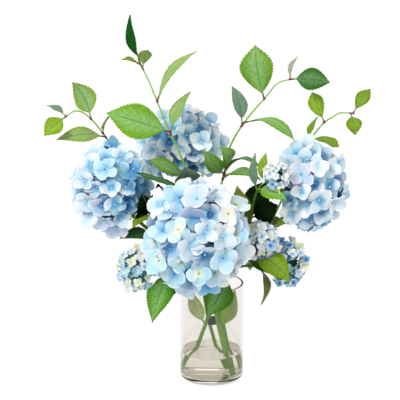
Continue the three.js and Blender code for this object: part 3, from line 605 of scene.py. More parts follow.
def leaf_material(name, roughness, bloom=None):
    """Living leaf with a waxy skin: satin, quilted in small cells, pale with a painted sheen in the middle
    and yellow-green at the margin, with darker green veins. The underside wears a pale bloom all over."""
    made, tree, shader = new_material(name, Roughness=roughness)
    leaf = node(tree, "ShaderNodeAttribute", attribute_name="leaf")
    green, margin_strength = leaf.outputs["Color"], leaf.outputs["Alpha"]
    # Leaves with a weak margin, the dark ones deep in the bunch, reflect less: painted shade that keeps them
    # near black
    tree.links.new(mapped(tree, margin_strength, 0.1, 0.4, 0.02, 0.12), shader.inputs["Specular IOR Level"])
    sideways, along = place_on_blade(tree)
    off_rib = maths(tree, "ABSOLUTE", maths(tree, "SUBTRACT", sideways, 0.5))
    across = maths(tree, "MULTIPLY", off_rib, 2.0)
    slanted = maths(tree, "MULTIPLY_ADD", across, -VEIN_SLANT, along)
    off_side_vein = maths(tree, "PINGPONG", maths(tree, "MULTIPLY", slanted, float(SIDE_VEINS)), 0.5)
    side_veins = mapped(tree, off_side_vein, 0.0, 0.13, 0.7, 0.0)
    veins = maths(tree, "MAXIMUM", side_veins, mapped(tree, across, 0.02, 0.08, 1.0, 0.0))
    # The quilted cells between the veins are about 3 mm across
    cells = node(tree, "ShaderNodeTexVoronoi", {"Scale": 1 / (3 * MM)}, feature="DISTANCE_TO_EDGE")
    quilt = mapped(tree, cells.outputs[0], 0.0, 0.3, 0.76, 1.1)
    cloud = mapped(tree, noise(tree, 16 * MM, detail=3.0), 0.3, 0.7, 0.8, 1.14)
    quilted = multiplied(tree, multiplied(tree, green, cloud), quilt)
    if bloom:
        blade = mixed(tree, UNDERSIDE_BLOOM, quilted, tuple(bloom))
    else:
        # A pale painted sheen lies in patches about 7 mm across, strongest in the middle of the blade
        inwards = mapped(tree, across, 0.2, 0.85, 1.0, 0.0)
        patches = mapped(tree, noise(tree, 7 * MM), 0.35, 0.6, 0.05, 0.4)
        sheen_here = maths(tree, "MULTIPLY", inwards, patches)
        sheen_share = maths(tree, "MULTIPLY", sheen_here, maths(tree, "POWER", margin_strength, 2.0))
        blade = mixed(tree, sheen_share, quilted, PAINTED_SHEEN)
    # The bright margin wanders in and out over about 10 mm
    reach = maths(tree, "MULTIPLY_ADD", noise(tree, 10 * MM), 0.6, across)
    margin = mapped(tree, reach, 0.62, 1.2, 0.0, 0.95, smooth=True)
    edged = mixed(tree, maths(tree, "MULTIPLY", margin, margin_strength), blade, multiplied(tree, blade, MARGIN_TINT))
    vein_tint = UNDERSIDE_VEIN_TINT if bloom else VEIN_TINT
    veined = multiplied(tree, edged, vein_tint, maths(tree, "MULTIPLY", veins, 0.75))
    tree.links.new(veined, shader.inputs["Base Color"])
    relief = bumped(tree, maths(tree, "SUBTRACT", quilt, veins), 0.45, 0.5 * MM, invert=bloom is not None)
    tree.links.new(relief, shader.inputs["Normal"])
    return made


def glass_material(tint):
    """Soda-lime glass, drawn and fire-polished: clear, with a trace of warm grey in its thickness."""
    made, _, _ = new_material("Clear soda-lime glass", Roughness=0.0, IOR=1.47, Transmission_Weight=1.0,
                              Base_Color=tuple(tint))
    return made


def water_material():
    """Still tap water: clear and mirror-flat, so it bends what stands in it."""
    made, _, _ = new_material("Still water", Roughness=0.0, IOR=1.33, Transmission_Weight=1.0,
                              Base_Color=linear("f4f1e6"))
    return made


# Modelling

def deselect_all():
    bpy.ops.object.select_all(action="DESELECT")


def make_active(piece):
    deselect_all()
    piece.select_set(True)
    bpy.context.view_layer.objects.active = piece


def join_pieces(pieces):
    """Joins pieces into the first of them."""
    make_active(pieces[0])
    for piece in pieces:
        piece.select_set(True)
    bpy.ops.object.join()
    return pieces[0]


def apply_modifiers(piece):
    make_active(piece)
    for name in [modifier.name for modifier in piece.modifiers]:
        bpy.ops.object.modifier_apply(modifier=name)


def thicken(piece, thickness, underside=0):
    """Gives a sheet its thickness. The underside is how many materials on its own one comes."""
    shell = piece.modifiers.new("Thickness", "SOLIDIFY")
    shell.thickness = thickness
    shell.offset = -1
    shell.material_offset = underside
    shell.material_offset_rim = underside
    apply_modifiers(piece)


def flatten_large_faces(piece):
    """Lets the large faces set the normals, so that glass and water bend light as their true form does."""
    weights = piece.modifiers.new("Weighted normals", "WEIGHTED_NORMAL")
    weights.keep_sharp = True
    weights.weight = 100
    apply_modifiers(piece)


def paint(mesh, attribute, colour):
    """Gives every point of a mesh the same colour."""
    layer = mesh.attributes.get(attribute) or mesh.attributes.new(attribute, "FLOAT_COLOR", "POINT")
    layer.data.foreach_set("color", list(colour) * len(mesh.vertices))


def finish_piece(piece, name, smooth_angle=50):
    """Names and smooths a finished piece, and ties it to the model's frame."""
    make_active(piece)
    bpy.ops.object.shade_smooth_by_angle(angle=math.radians(smooth_angle))
    piece.name = name
    piece.data.name = name
    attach(piece, "root")


def smooth_route(points, steps=8):
    """Points along a centripetal curve through a stem's route, in metres."""
    knots = [Vector(point) * MM for point in points]
    knots = [2 * knots[0] - knots[1], *knots, 2 * knots[-1] - knots[-2]]
    places = []
    for a, b, c, d in zip(knots, knots[1:], knots[2:], knots[3:]):
        gaps = [math.sqrt((q - p).length) for p, q in ((a, b), (b, c), (c, d))]
        leave = ((b - a) / gaps[0] - (c - a) / (gaps[0] + gaps[1]) + (c - b) / gaps[1]) * gaps[1]
        arrive = ((c - b) / gaps[1] - (d - b) / (gaps[1] + gaps[2]) + (d - c) / gaps[2]) * gaps[1]
        for step in range(steps):
            t = step / steps
            places.append(b * (2 * t**3 - 3 * t**2 + 1) + leave * (t**3 - 2 * t**2 + t)
                          + c * (3 * t**2 - 2 * t**3) + arrive * (t**3 - t**2))
    return places + [knots[-2]]


def nearest_on(route, point):
    """The place on a stem that is nearest to a point, and how far along the stem it is, from 0 to 1."""
    best = None
    for number, (start, end) in enumerate(zip(route, route[1:])):
        way = end - start
        share = min(1.0, max(0.0, (point - start).dot(way) / way.length_squared))
        place = start + way * share
        gap = (place - point).length
        if best is None or gap < best[0]:
            best = (gap, place, (number + share) / (len(route) - 1))
    return best[1], best[2]


def joined_tubes(runs, skins):
    """Round tapering tubes as one mesh, in the skins that they name."""
    curve = bpy.data.curves.new("stalks", "CURVE")
    curve.dimensions = "3D"
    curve.bevel_depth = 1.0
    curve.bevel_resolution = TUBE_ROUNDNESS
    curve.use_fill_caps = True
    for material in skins.values():
        curve.materials.append(material)
    for tube in runs:
        spline = curve.splines.new("POLY")
        spline.points.add(len(tube.points) - 1)
        for knot, point, radius in zip(spline.points, tube.points, tube.radii):
            knot.co = (*point, 1.0)
            knot.radius = radius
        spline.material_index = list(skins).index(tube.skin)
    piece = bpy.data.objects.new("stalks", curve)
    bpy.context.collection.objects.link(piece)
    make_active(piece)
    bpy.ops.object.convert(target="MESH")
    return piece


def scaled(vector, by):
    """The vector, with each part multiplied by that of the other."""
    return Vector(a * b for a, b in zip(vector, by))


def divided(vector, by):
    """The vector, with each part divided by that of the other."""
    return Vector(a / b for a, b in zip(vector, by))


class Head:
    """The egg-shaped outline of a bloom or a cluster, read from its solid in the frame."""

    def __init__(self, solid):
        low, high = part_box(solid)
        self.centre = (low + high) / 2
        self.radii = (high - low) / 2

    def push_clear(self, point):
        """The point itself, or a place just outside the head, if it is inside and not in a dent."""
        reach = self.radii + Vector((LEAF_CLEARANCE * MM,) * 3)
        unit = divided(point - self.centre, reach)
        if unit.length >= 1 or unit.length == 0:
            return point
        unit.normalize()
        outside = self.centre + scaled(unit, reach)
        past_middle = min((point / MM - Vector(middle)).length - radius for middle, radius in DENTS)
        return point.lerp(outside, min(1.0, max(0.0, 1 + past_middle / DENT_EDGE)))

    def press_in(self, point):
        """The point, moved towards the head's centre out of any dent."""
        inwards = (self.centre - point).normalized()
        for middle, radius in DENTS:
            from_dent = point - Vector(middle) * MM
            if from_dent.length < radius * MM:
                along = from_dent.dot(inwards)
                way = math.sqrt(along ** 2 - from_dent.length_squared + (radius * MM) ** 2) - along
                point = point + inwards * way
        return point


HEADS = {solid: Head(solid) for name in SPRAYS for solid in (f"bloom_{name}", f"buds_{name}")}


def clear_of_heads(point):
    for head in HEADS.values():
        point = head.push_clear(point)
    return point


def ovate(share, widest):
    """Half width of an ovate blade with a drawn-out tip, as a share of the widest."""
    if share < widest:
        return math.sin(math.pi / 2 * share / widest) ** FOOT_POWER
    return math.sin(math.pi / 2 * (1 - share) / (1 - widest)) ** TIP_POWER


class LeafRib:
    """The middle line of a leaf from its root on the stem to its tip, and the directions beside it."""

    def __init__(self, leaf, route):
        self.start, _ = nearest_on(route, Vector(leaf.root) * MM)
        self.end = Vector(leaf.tip) * MM
        chord = self.end - self.start
        self.length = chord.length
        across = chord.cross(Vector(leaf.face)).normalized()
        self.lift = across.cross(chord).normalized()
        self.crest = (self.start + self.end) / 2 + self.lift * (2 * leaf.arch * self.length)
        self.stalk = min(LONGEST_STALK_SHARE, STALK_LENGTH * MM / self.length)

    def point(self, t):
        return self.start * (1 - t) ** 2 + self.crest * (2 * t * (1 - t)) + self.end * t ** 2

    def directions(self, t):
        tangent = ((self.crest - self.start) * (1 - t) + (self.end - self.crest) * t).normalized()
        sideways = tangent.cross(self.lift).normalized()
        return tangent, sideways, sideways.cross(tangent).normalized()


def leaf_blade(leaf, rib, draw):
    """A toothed, quilted blade: a grid that is drawn in to the leaf's outline and bent along its rib."""
    rows = 2 * max(FEWEST_TEETH, round(rib.length * (1 - rib.stalk) / (TOOTH_SPACING * MM)))
    bpy.ops.mesh.primitive_grid_add(x_subdivisions=BLADE_COLUMNS, y_subdivisions=rows, size=2)
    blade = bpy.context.active_object
    width = leaf.width * MM
    phase = draw.uniform(0, math.tau)
    ripple = draw.uniform(*RIPPLE) * width
    for vertex in blade.data.vertices:
        across = vertex.co.x
        share = min(1.0, max(0.0, (vertex.co.y + 1) / 2))
        off_rib = abs(across)
        t = rib.stalk + (1 - rib.stalk) * share
        tangent, sideways, normal = rib.directions(t)
        is_tooth = round(share * rows) % 2 == 1
        half = width / 2 * ovate(share, leaf.widest)
        half *= 1 + off_rib ** EDGE_POWER * (TOOTH_OUT if is_tooth else -TOOTH_IN)
        fold = math.sqrt(off_rib ** 2 + RIB_ROUNDING) - math.sqrt(RIB_ROUNDING)
        side_vein = math.pi * SIDE_VEINS * (share - VEIN_SLANT * off_rib)
        quilt = abs(math.sin(side_vein)) * min(1, 4 * off_rib) * half * QUILT_RISE
        turn = phase + RIPPLES_ALONG * share + math.copysign(RIPPLES_APART, across)
        wave = ripple * off_rib ** 2 * math.sin(turn)
        height = fold * half * math.sin(leaf.fold) - EDGE_DROOP * half * off_rib ** 3 + quilt + wave
        place = rib.point(t) + sideways * (across * half * math.cos(leaf.fold)) + normal * height
        if is_tooth:
            place += tangent * (TOOTH_LEAN * rib.length * off_rib ** EDGE_POWER)
        vertex.co = clear_of_heads(place)
    green, margin = SHADES[leaf.shade]
    tone = draw.uniform(*LEAF_TONES)
    paint(blade.data, "leaf", [channel * tone for channel in linear(green)[:3]] + [margin])
    return blade


def leaf_stalk(leaf, rib, stalk_radius):
    """The stalk of a leaf and its rib along the underside, as one tube that thins to the tip."""
    points = []
    radii = []
    slimness = min(1.0, leaf.width / FULL_LEAF_WIDTH) * (1 - SLIMMEST_RIB) + SLIMMEST_RIB
    for step in range(RIB_STEPS + 1):
        t = step / RIB_STEPS * RIB_REACH
        _, _, normal = rib.directions(t)
        under = stalk_radius * min(1, t / rib.stalk) ** 2
        points.append(clear_of_heads(rib.point(t) - normal * under))
        radii.append(stalk_radius * slimness * (1 - RIB_TAPER * max(0, t - rib.stalk) / (1 - rib.stalk)))
    return Tube(points, radii, "rib")


def stalk_joint(rib, stalk):
    """The swollen red-brown foot of a leaf's stalk."""
    points = [rib.point(t) for t, _ in STALK_JOINT]
    return Tube(points, [radius * swell for radius, (_, swell) in zip(stalk.radii, STALK_JOINT)], "joint")


def twig_joint(route, leaf, radii):
    """The swollen red-brown joint of a twig where a leaf leaves it."""
    place, share = nearest_on(route, Vector(leaf.root) * MM)
    last = len(route) - 1
    number = min(last - 1, int(share * last))
    way = (route[number + 1] - route[number]).normalized()
    points = [place + way * (along * MM) for along, _ in TWIG_JOINT]
    return Tube(points, [radii[number] * swell for _, swell in TWIG_JOINT], "joint")


def petal_pattern(length, width, faces, pitch, draw):
    """One petal along +Y from the eye: a grid drawn in to a broad round outline, cupped, ruffled and then
    raised from the floret's plane by its pitch."""
    bpy.ops.mesh.primitive_grid_add(x_subdivisions=faces[0], y_subdivisions=faces[1], size=2)
    petal = bpy.context.active_object
    phase = draw.uniform(0, math.tau)
    ruffle = draw.uniform(*RUFFLE) * length
    crimp = draw.uniform(*CRIMP) * length
    fall = -draw.uniform(*FALL) * length
    twist = draw.uniform(*TWIST) * length
    cup = draw.uniform(*CUP) * width
    tip = draw.uniform(*PETAL_TIP)
    for vertex in petal.data.vertices:
        across = math.sin(math.pi / 2 * vertex.co.x)
        along = (vertex.co.y + 1) / 2
        widening = math.sin(math.pi / 2 * min(1, along / PETAL_WIDEST_AT)) ** PETAL_SHOULDER
        half = width * (PETAL_CLAW + (1 - PETAL_CLAW) * widening)
        rounding = 1 - math.sqrt(1 - PETAL_CORNER * across ** 2)
        reach = along - PETAL_ROUNDING * rounding * along ** 2 + tip * (1 - abs(across)) ** 2 * along ** 4
        wave = (ruffle * math.sin(phase + RUFFLES_ACROSS * across + RUFFLES_ALONG * along)
                + crimp * math.sin(CRIMPS_ACROSS * across - phase))
        height = (cup * across ** 2 * along + wave * along ** 2 + fall * along ** FALL_POWER
                  + twist * across * along)
        vertex.co = (across * half, length * reach, height)
    petal.data.transform(Matrix.Rotation(pitch, 4, "X"))
    tone = draw.uniform(*PETAL_TONES)
    paint(petal.data, "tone", [tone ** power for power in TONE_POWERS] + [1])
    return petal


def floret_pattern(radius, kind, materials, draw):
    """A floret that faces +Z: four petals, the bead of the eye and the stalk behind it."""
    petals = []
    openness = math.radians(kind.openness)
    mean_pitch = openness * draw.uniform(*FLORET_OPENING)
    for quarter in range(4):
        length = radius * draw.uniform(*PETAL_SIZES)
        width = radius * kind.width_share * draw.uniform(*PETAL_SIZES)
        pitch = mean_pitch + draw.uniform(*PITCH_SPREAD) * openness + (quarter % 2) * OVERLAP_PITCH
        petal = petal_pattern(length, width, kind.faces, pitch, draw)
        turn = quarter * math.pi / 2 + draw.uniform(*TURN_SPREAD)
        petal.data.transform(Matrix.Rotation(turn, 4, "Z"))
        petal.data.materials.append(materials["petal"])
        petals.append(petal)
    floret = join_pieces(petals)
    thicken(floret, PETAL_THICKNESS)
    bead = radius * EYE_SIZE
    bpy.ops.mesh.primitive_ico_sphere_add(subdivisions=1, radius=bead, location=(0, 0, bead * EYE_RISE))
    eye = bpy.context.active_object
    eye.data.materials.append(materials["eye"])
    stalk = radius * FLORET_STALK
    foot, top = FLORET_STALK_RADII
    bpy.ops.mesh.primitive_cone_add(vertices=5, radius1=foot, radius2=top, depth=stalk,
                                    end_fill_type="NGON", location=(0, 0, -stalk / 2))
    stem = bpy.context.active_object
    stem.data.materials.append(materials["stalk"])
    return join_pieces([floret, eye, stem])


def floret_places(head, count, radius, stem_way, draw):
    """Even places over a head, apart from the cone round its stem, each at one of a few depths so that
    petals which overlap pass clear of each other."""
    total = round(count / ((1 + BARE_CONE) / 2))
    pole = Vector((0, 0, -1)).rotation_difference(stem_way)
    places = []
    for number in range(total):
        height = 1 - 2 * (number + 0.5) / total
        ring = math.sqrt(1 - height * height)
        turn = GOLDEN_TURN * number
        way = pole @ Vector((ring * math.cos(turn), ring * math.sin(turn), height))
        if way.dot(stem_way) > BARE_CONE:
            continue
        spot = head.press_in(head.centre + scaled(way, head.radii))
        normal = divided(way, head.radii).normalized()
        places.append([spot, normal, draw.randrange(DEPTHS)])
    for _ in range(SETTLE_ROUNDS):
        for place in places:
            crowding = [0.0] * DEPTHS
            for other in places:
                if other is not place:
                    near = max(0.0, 1 - (place[0] - other[0]).length / (CROWDING_REACH * radius))
                    crowding[other[2]] += near * near
            place[2] = crowding.index(min(crowding))
    return places


def placed_floret(pattern, spot, normal, turn, size, colours):
    """A copy of a floret with its own mesh, size, place and colours."""
    facing = Vector((0, 0, 1)).rotation_difference(normal) @ Quaternion((0, 0, 1), turn)
    mesh = pattern.data.copy()
    mesh.transform(Matrix.LocRotScale(spot, facing, Vector((size,) * 3)))
    for attribute, colour in colours.items():
        paint(mesh, attribute, colour)
    copy = bpy.data.objects.new("floret", mesh)
    bpy.context.collection.objects.link(copy)
    return copy


def paint_shade_by_depth(mesh, head, style):
    """Paints shade on the petals of a head: the farther in they lie, the deeper their colour."""
    for vertex, tone in zip(mesh.vertices, mesh.attributes["tone"].data):
        out = divided(vertex.co - head.centre, head.radii).length
        share = min(1.0, max(0.0, (style.shallow - out) / SHADE_REACH))
        tint = [channel ** share for channel in style.deep_tint]
        tone.color = [a * b for a, b in zip(tone.color, tint)]


def remove_pieces(pieces):
    for piece in pieces:
        bpy.data.objects.remove(piece)


def tilted(normal, most, draw):
    """The direction, leant by up to the given angle."""
    side = normal.orthogonal().normalized()
    side.rotate(Quaternion(normal, draw.uniform(0, math.tau)))
    leant = normal.copy()
    leant.rotate(Quaternion(side, draw.uniform(0, most)))
    return leant


def turned_to_light(normal):
    """The way that a floret faces: those on the lit side and the rim of a head turn towards the light."""
    share = LIGHT_PULL * min(1.0, max(0.0, 1 + normal.dot(LIGHT_WAY) / LIGHT_LIMIT))
    return (normal + LIGHT_WAY * share).normalized()


def stalk_bed_in_painted_shade(head, share, material):
    """The stalks inside a head, dark with painted shade for the gaps between florets: a ball squeezed to the
    head's shape and knobbed all over.
    """
    bpy.ops.mesh.primitive_ico_sphere_add(subdivisions=3, radius=1)
    bed = bpy.context.active_object
    for vertex in bed.data.vertices:
        way = vertex.co.normalized()
        knob = math.sin(9 * way.x + 2) * math.sin(11 * way.y) * math.sin(10 * way.z + 1)
        swell = 1 + KNOB_HEIGHT * knob
        spot = head.centre + Vector(way[i] * head.radii[i] * share * swell for i in range(3))
        vertex.co = head.press_in(spot)
    bed.data.materials.append(material)
    return bed


def cover_head(solid, stem_place, style, count, radius, kinds, mix, inner, materials, draw):
    """Layers of florets over a bed of stalks, in the outline of a head's solid. The kinds are the colours
    that a floret can have, the mix is how often each comes up, and inner is the painted shade colour deep in
    the head."""
    head = HEADS[solid]
    stem_way = (Vector(stem_place) * MM - head.centre).normalized()
    deselect_all()
    patterns = {}
    for layer in style.layers:
        if layer.florets not in patterns:
            shaped = FLORETS[layer.florets]
            patterns[layer.florets] = [
                floret_pattern(radius, shaped, materials, draw) for _ in range(shaped.shapes)]
    florets = []
    for layer in style.layers:
        shell = Head(solid)
        shell.radii = head.radii * layer.reach
        for spot, normal, depth in floret_places(shell, round(count * layer.share), radius, stem_way, draw):
            sunk = spot - normal * (depth * style.depth_step * radius)
            heart, petal, eye = draw.choices(kinds, mix)[0]
            # Inner layers and sunk florets go towards the inner colour: painted shade in the gaps of the
            # head
            shade = min(1, layer.darkness + style.depth_shade * depth)
            colours = {
                "heart": blend_colours(heart, inner, shade),
                "petal": blend_colours(petal, inner, shade),
                "eye": eye,
            }
            facing = tilted(turned_to_light(normal), MOST_LEAN, draw)
            florets.append(placed_floret(draw.choice(patterns[layer.florets]), sunk, facing,
                                         draw.uniform(0, math.tau), draw.uniform(*style.sizes), colours))
    covered = join_pieces(florets)
    paint_shade_by_depth(covered.data, head, style)
    covered = join_pieces([covered, stalk_bed_in_painted_shade(head, style.bed_share, materials["bed"])])
    for shapes in patterns.values():
        remove_pieces(shapes)
    return covered


def colours_of(kinds, settings):
    """The kinds of floret, with colours in place of the names of settings."""
    return [[tuple(getattr(settings, name)) for name in names] for names in kinds]


def upright_cylinder(radius, low, depth):
    """A cylinder round the vase's middle line, in edit mode with its top picked."""
    deselect_all()
    bpy.ops.mesh.primitive_cylinder_add(vertices=SIDES_ROUND, radius=radius, depth=depth,
                                        location=(0, 0, low + depth / 2))
    bpy.ops.object.transform_apply(location=True, rotation=True, scale=True)
    piece = bpy.context.active_object
    bpy.ops.object.mode_set(mode="EDIT")
    bpy.ops.mesh.select_all(action="DESELECT")
    bpy.context.tool_settings.mesh_select_mode = (False, False, True)
    bpy.ops.object.mode_set(mode="OBJECT")
    for face in piece.data.polygons:
        face.select = face.normal.z > LOOKS_UP
    bpy.ops.object.mode_set(mode="EDIT")
    return piece


def round_edges_at(piece, height, radius, segments):
    """In edit mode, rounds the edges that lie flat at a height."""
    bpy.ops.mesh.select_all(action="DESELECT")
    bpy.context.tool_settings.mesh_select_mode = (False, True, False)
    bpy.ops.object.mode_set(mode="OBJECT")
    points = piece.data.vertices
    for edge in piece.data.edges:
        edge.select = all(abs(points[number].co.z - height) < SAME_HEIGHT for number in edge.vertices)
    bpy.ops.object.mode_set(mode="EDIT")
    bpy.ops.mesh.bevel(offset=radius, segments=segments, affect="EDGES")


def finish_clear_piece(piece, material, name, smooth_angle):
    """Ends the edits of a piece of glass or water, and finishes it."""
    bpy.ops.object.mode_set(mode="OBJECT")
    piece.data.materials.append(material)
    finish_piece(piece, name, smooth_angle)
    flatten_large_faces(piece)


def joined_blades(blades, materials, thickness):
    """Leaf blades as one piece, with the two materials on their upper side and underside."""
    leaves = join_pieces(blades)
    bpy.ops.object.mode_set(mode="EDIT")
    bpy.ops.mesh.select_all(action="SELECT")
    bpy.ops.mesh.remove_doubles(threshold=SAME_PLACE)
    bpy.ops.object.mode_set(mode="OBJECT")
    for material in materials:
        leaves.data.materials.append(material)
    thicken(leaves, thickness, underside=1)
    return leaves


def grow_spray(name, spray, settings, blade_materials, skins):
    """The stem, branches and leaves of one spray, as one piece."""
    draw = random.Random(f"greens of {name}")
    trunk = smooth_route(spray["trunk"].route)
    runs = []
    blades = []
    for branch_name, branch in spray.items():
        route = smooth_route(branch.route)
        if branch_name != "trunk":
            route[0], _ = nearest_on(trunk, route[0])
        last = len(route) - 1
        root_radius, end_radius = (radius * MM for radius in branch.radii)
        radii = [root_radius + (end_radius - root_radius) * i / last for i in range(last + 1)]
        radii = [radius * draw.uniform(*STEM_UNEVENNESS) for radius in radii]
        runs.append(Tube(route, radii, BARKS[branch_name]))
        for leaf in branch.leaves:
            rib = LeafRib(leaf, route)
            deselect_all()
            blades.append(leaf_blade(leaf, rib, draw))
            stalk = leaf_stalk(leaf, rib, settings.stalk_radius)
            runs.append(stalk)
            if branch_name == "twig":
                runs += [twig_joint(route, leaf, radii), stalk_joint(rib, stalk)]
    leaves = joined_blades(blades, blade_materials, settings.thickness)
    greens = join_pieces([leaves, joined_tubes(runs, skins)])
    finish_piece(greens, f"leafy_stem_{name}", smooth_angle=60)
    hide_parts(f"stems_{name}")


def lay_floor():
    """White paper over a light table, which takes almost no shadow."""
    bpy.ops.mesh.primitive_plane_add(size=FLOOR_SIZE, location=(0, 0, -AIR_FILM))
    floor = bpy.context.active_object
    floor.name = "pale_floor"
    paper, _, _ = new_material("Matt white paper over a light table", Roughness=0.9,
                               Base_Color=(1 - FLOOR_GLOW,) * 3 + (1,),
                               Emission_Color=WHITE, Emission_Strength=FLOOR_GLOW)
    floor.data.materials.append(paper)


def light_stage(scene):
    """Soft white light from all round, and three lamps that aim at the blooms."""
    world = bpy.data.worlds.new("White studio")
    world.use_nodes = True
    scene.world = world
    sky = world.node_tree.nodes["Background"]
    sky.inputs["Color"].default_value = WHITE
    sky.inputs["Strength"].default_value = SKY_STRENGTH
    for name, (place, size, watts) in LAMPS.items():
        light = bpy.data.lights.new(name, "AREA")
        light.size = size
        light.energy = watts
        lamp = bpy.data.objects.new(name, light)
        lamp.location = place
        lamp.rotation_euler = (LIT_POINT - Vector(place)).to_track_quat("-Z", "Y").to_euler()
        bpy.context.collection.objects.link(lamp)


def place_camera(scene):
    camera = bpy.data.cameras.new("photo_camera")
    camera.sensor_fit = "HORIZONTAL"
    camera.sensor_width = SENSOR_WIDTH
    camera.lens = CAMERA_LENS
    eye = bpy.data.objects.new("photo_camera", camera)
    eye.location = CAMERA_PLACE
    eye.rotation_euler = (math.radians(90 - CAMERA_PITCH), 0, 0)
    bpy.context.collection.objects.link(eye)
    scene.camera = eye


# Operators, one for each piece or group of like pieces

class HYDRANGEA_OT_vase(bpy.types.Operator):
    """Turn the clear glass cylinder with its thick floor"""
    bl_idname = "hydrangea.vase"
    bl_label = "Glass vase"

    def execute(self, context):
        sizes = context.scene.hydrangea_vase
        vase = upright_cylinder(sizes.radius, 0, sizes.height)
        bpy.ops.mesh.inset(thickness=sizes.wall)
        bpy.ops.mesh.extrude_region_move(
            TRANSFORM_OT_translate={"value": (0, 0, sizes.floor - sizes.height)})
        round_edges_at(vase, sizes.floor, INSIDE_ROUNDING, segments=3)
        round_edges_at(vase, 0, sizes.foot_round, segments=6)
        round_edges_at(vase, sizes.height, sizes.rim_round, segments=3)
        finish_clear_piece(vase, glass_material(sizes.tint), "glass_vase", smooth_angle=35)
        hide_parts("vase")
        return {"FINISHED"}


class HYDRANGEA_OT_water(bpy.types.Operator):
    """Fill the vase with water that climbs a little at the glass"""
    bl_idname = "hydrangea.water"
    bl_label = "Water"

    def execute(self, context):
        sizes = context.scene.hydrangea_vase
        floor = sizes.floor - WATER_OVERLAP
        water = upright_cylinder(sizes.radius - sizes.wall + WATER_OVERLAP, floor, sizes.water_level - floor)
        for width, drop in WATER_CLIMB:
            bpy.ops.mesh.inset(thickness=width * MM)
            bpy.ops.transform.translate(value=(0, 0, -drop * MM))
        round_edges_at(water, floor, INSIDE_ROUNDING, segments=3)
        finish_clear_piece(water, water_material(), "still_water", smooth_angle=60)
        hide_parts("water")
        return {"FINISHED"}


class HYDRANGEA_OT_greens(bpy.types.Operator):
    """Grow the stems, twigs and toothed leaves of the four sprays"""
    bl_idname = "hydrangea.greens"
    bl_label = "Stems and leaves"

    def execute(self, context):
        settings = context.scene.hydrangea_leaves
        blade_materials = [
            leaf_material("Waxy leaf, upper side", 0.42),
            leaf_material("Waxy leaf, underside", 0.6, settings.underside),
        ]
        skins = {
            "stem": plain_material("Green stem bark", settings.stem, 0.5, 6 * MM, 0.35),
            "rib": plain_material("Leaf rib", "6c9a3c", 0.5, 5 * MM, 0.2),
            "joint": plain_material("Red-brown joint skin", settings.joint, 0.55, 3 * MM, 0.3),
            "twig": plain_material("Young twig bark", settings.twig, 0.5, 6 * MM, 0.25),
            "branch": plain_material("Shaded branch bark", settings.branch, 0.5, 6 * MM, 0.3),
        }
        for name, spray in SPRAYS.items():
            grow_spray(name, spray, settings, blade_materials, skins)
        return {"FINISHED"}


class HYDRANGEA_OT_blooms(bpy.types.Operator):
    """Cover the four large heads with broad blue florets"""
    bl_idname = "hydrangea.blooms"
    bl_label = "Large blooms"

    def execute(self, context):
        settings = context.scene.hydrangea_blooms
        # The bed of stalks is a dark navy: painted shade between the florets
        bed = plain_material("Bed of flower stalks", "143c52", 0.9, 9 * MM, 0.4)
        materials = head_materials("Hydrangea", "9db8a0", bed)
        kinds = colours_of(BLOOM_KINDS, settings)
        front = (settings.front_florets, settings.front_floret_radius, kinds, FRONT_MIX)
        side = (settings.side_florets, settings.side_floret_radius, kinds, SIDE_MIX)
        for name, spray in SPRAYS.items():
            is_front = name == "front"
            draw = random.Random(f"bloom of {name}")
            place = spray["trunk"].route[-2]
            bloom = cover_head(f"bloom_{name}", place, BLOOM, *(front if is_front else side), settings.deep,
                               materials, draw)
            finish_piece(bloom, f"mophead_{name}")
            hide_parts(f"bloom_{name}")
        return {"FINISHED"}


class HYDRANGEA_OT_clusters(bpy.types.Operator):
    """Cover the four small heads with young florets"""
    bl_idname = "hydrangea.clusters"
    bl_label = "Young clusters"

    def execute(self, context):
        settings = context.scene.hydrangea_clusters
        # The bed of stalks is a dark green: painted shade between the young florets
        bed = plain_material("Bed of young stalks", "103c28", 0.9, 5 * MM, 0.6)
        materials = head_materials("Young hydrangea", "8fae8f", bed)
        kinds = colours_of(CLUSTER_KINDS, settings)
        for name, spray in SPRAYS.items():
            fullness, scale, mix = CLUSTERS[name]
            draw = random.Random(f"cluster of {name}")
            place = spray["buds"].route[-2]
            count = settings.florets * fullness
            radius = settings.floret_radius * scale
            cluster = cover_head(f"buds_{name}", place, CLUSTER, count, radius, kinds, mix, settings.inner,
                                 materials, draw)
            finish_piece(cluster, f"young_cluster_{name}")
            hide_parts(f"buds_{name}")
        return {"FINISHED"}


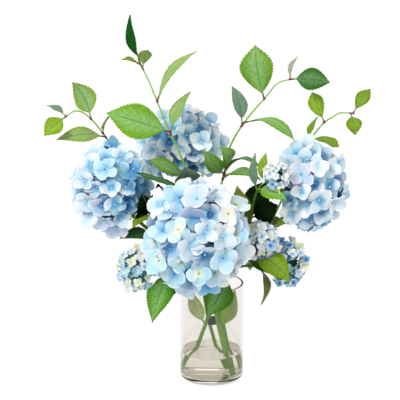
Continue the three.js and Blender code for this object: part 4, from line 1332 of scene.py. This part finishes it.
class HYDRANGEA_OT_stage(bpy.types.Operator):
    """Lay the pale floor, light it softly and set the camera"""
    bl_idname = "hydrangea.stage"
    bl_label = "Floor, light and camera"

    def execute(self, context):
        deselect_all()
        lay_floor()
        light_stage(context.scene)
        place_camera(context.scene)
        context.scene.view_settings.view_transform = "Standard"
        return {"FINISHED"}


class HYDRANGEA_PT_panel(bpy.types.Panel):
    """The steps of the bouquet, in order, with their settings"""
    bl_idname = "HYDRANGEA_PT_panel"
    bl_label = "Hydrangeas in a vase"
    bl_space_type = "VIEW_3D"
    bl_region_type = "UI"
    bl_category = "Hydrangeas"

    def draw(self, context):
        scene = context.scene
        for operators, settings in STEPS:
            column = self.layout.box().column()
            for operator in operators:
                column.operator(operator.bl_idname)
            if settings:
                group = getattr(scene, settings)
                for name in group.bl_rna.properties.keys():
                    if name not in ("rna_type", "name"):
                        column.prop(group, name)


STEPS = (
    ((HYDRANGEA_OT_vase, HYDRANGEA_OT_water), "hydrangea_vase"),
    ((HYDRANGEA_OT_greens,), "hydrangea_leaves"),
    ((HYDRANGEA_OT_blooms,), "hydrangea_blooms"),
    ((HYDRANGEA_OT_clusters,), "hydrangea_clusters"),
    ((HYDRANGEA_OT_stage,), None),
)
SETTINGS = {
    "hydrangea_vase": HydrangeaVaseSettings,
    "hydrangea_leaves": HydrangeaLeafSettings,
    "hydrangea_blooms": HydrangeaBloomSettings,
    "hydrangea_clusters": HydrangeaClusterSettings,
}
OPERATORS = [operator for operators, _ in STEPS for operator in operators]


def register():
    for group in (*SETTINGS.values(), *OPERATORS, HYDRANGEA_PT_panel):
        bpy.utils.register_class(group)
    for name, group in SETTINGS.items():
        setattr(bpy.types.Scene, name, bpy.props.PointerProperty(type=group))


def unregister():
    for name in SETTINGS:
        delattr(bpy.types.Scene, name)
    for group in (HYDRANGEA_PT_panel, *OPERATORS, *SETTINGS.values()):
        bpy.utils.unregister_class(group)


def main():
    register()
    bpy.ops.hydrangea.vase()
    bpy.ops.hydrangea.water()
    bpy.ops.hydrangea.greens()
    bpy.ops.hydrangea.blooms()
    bpy.ops.hydrangea.clusters()
    bpy.ops.hydrangea.stage()


if __name__ == "__main__":
    main()
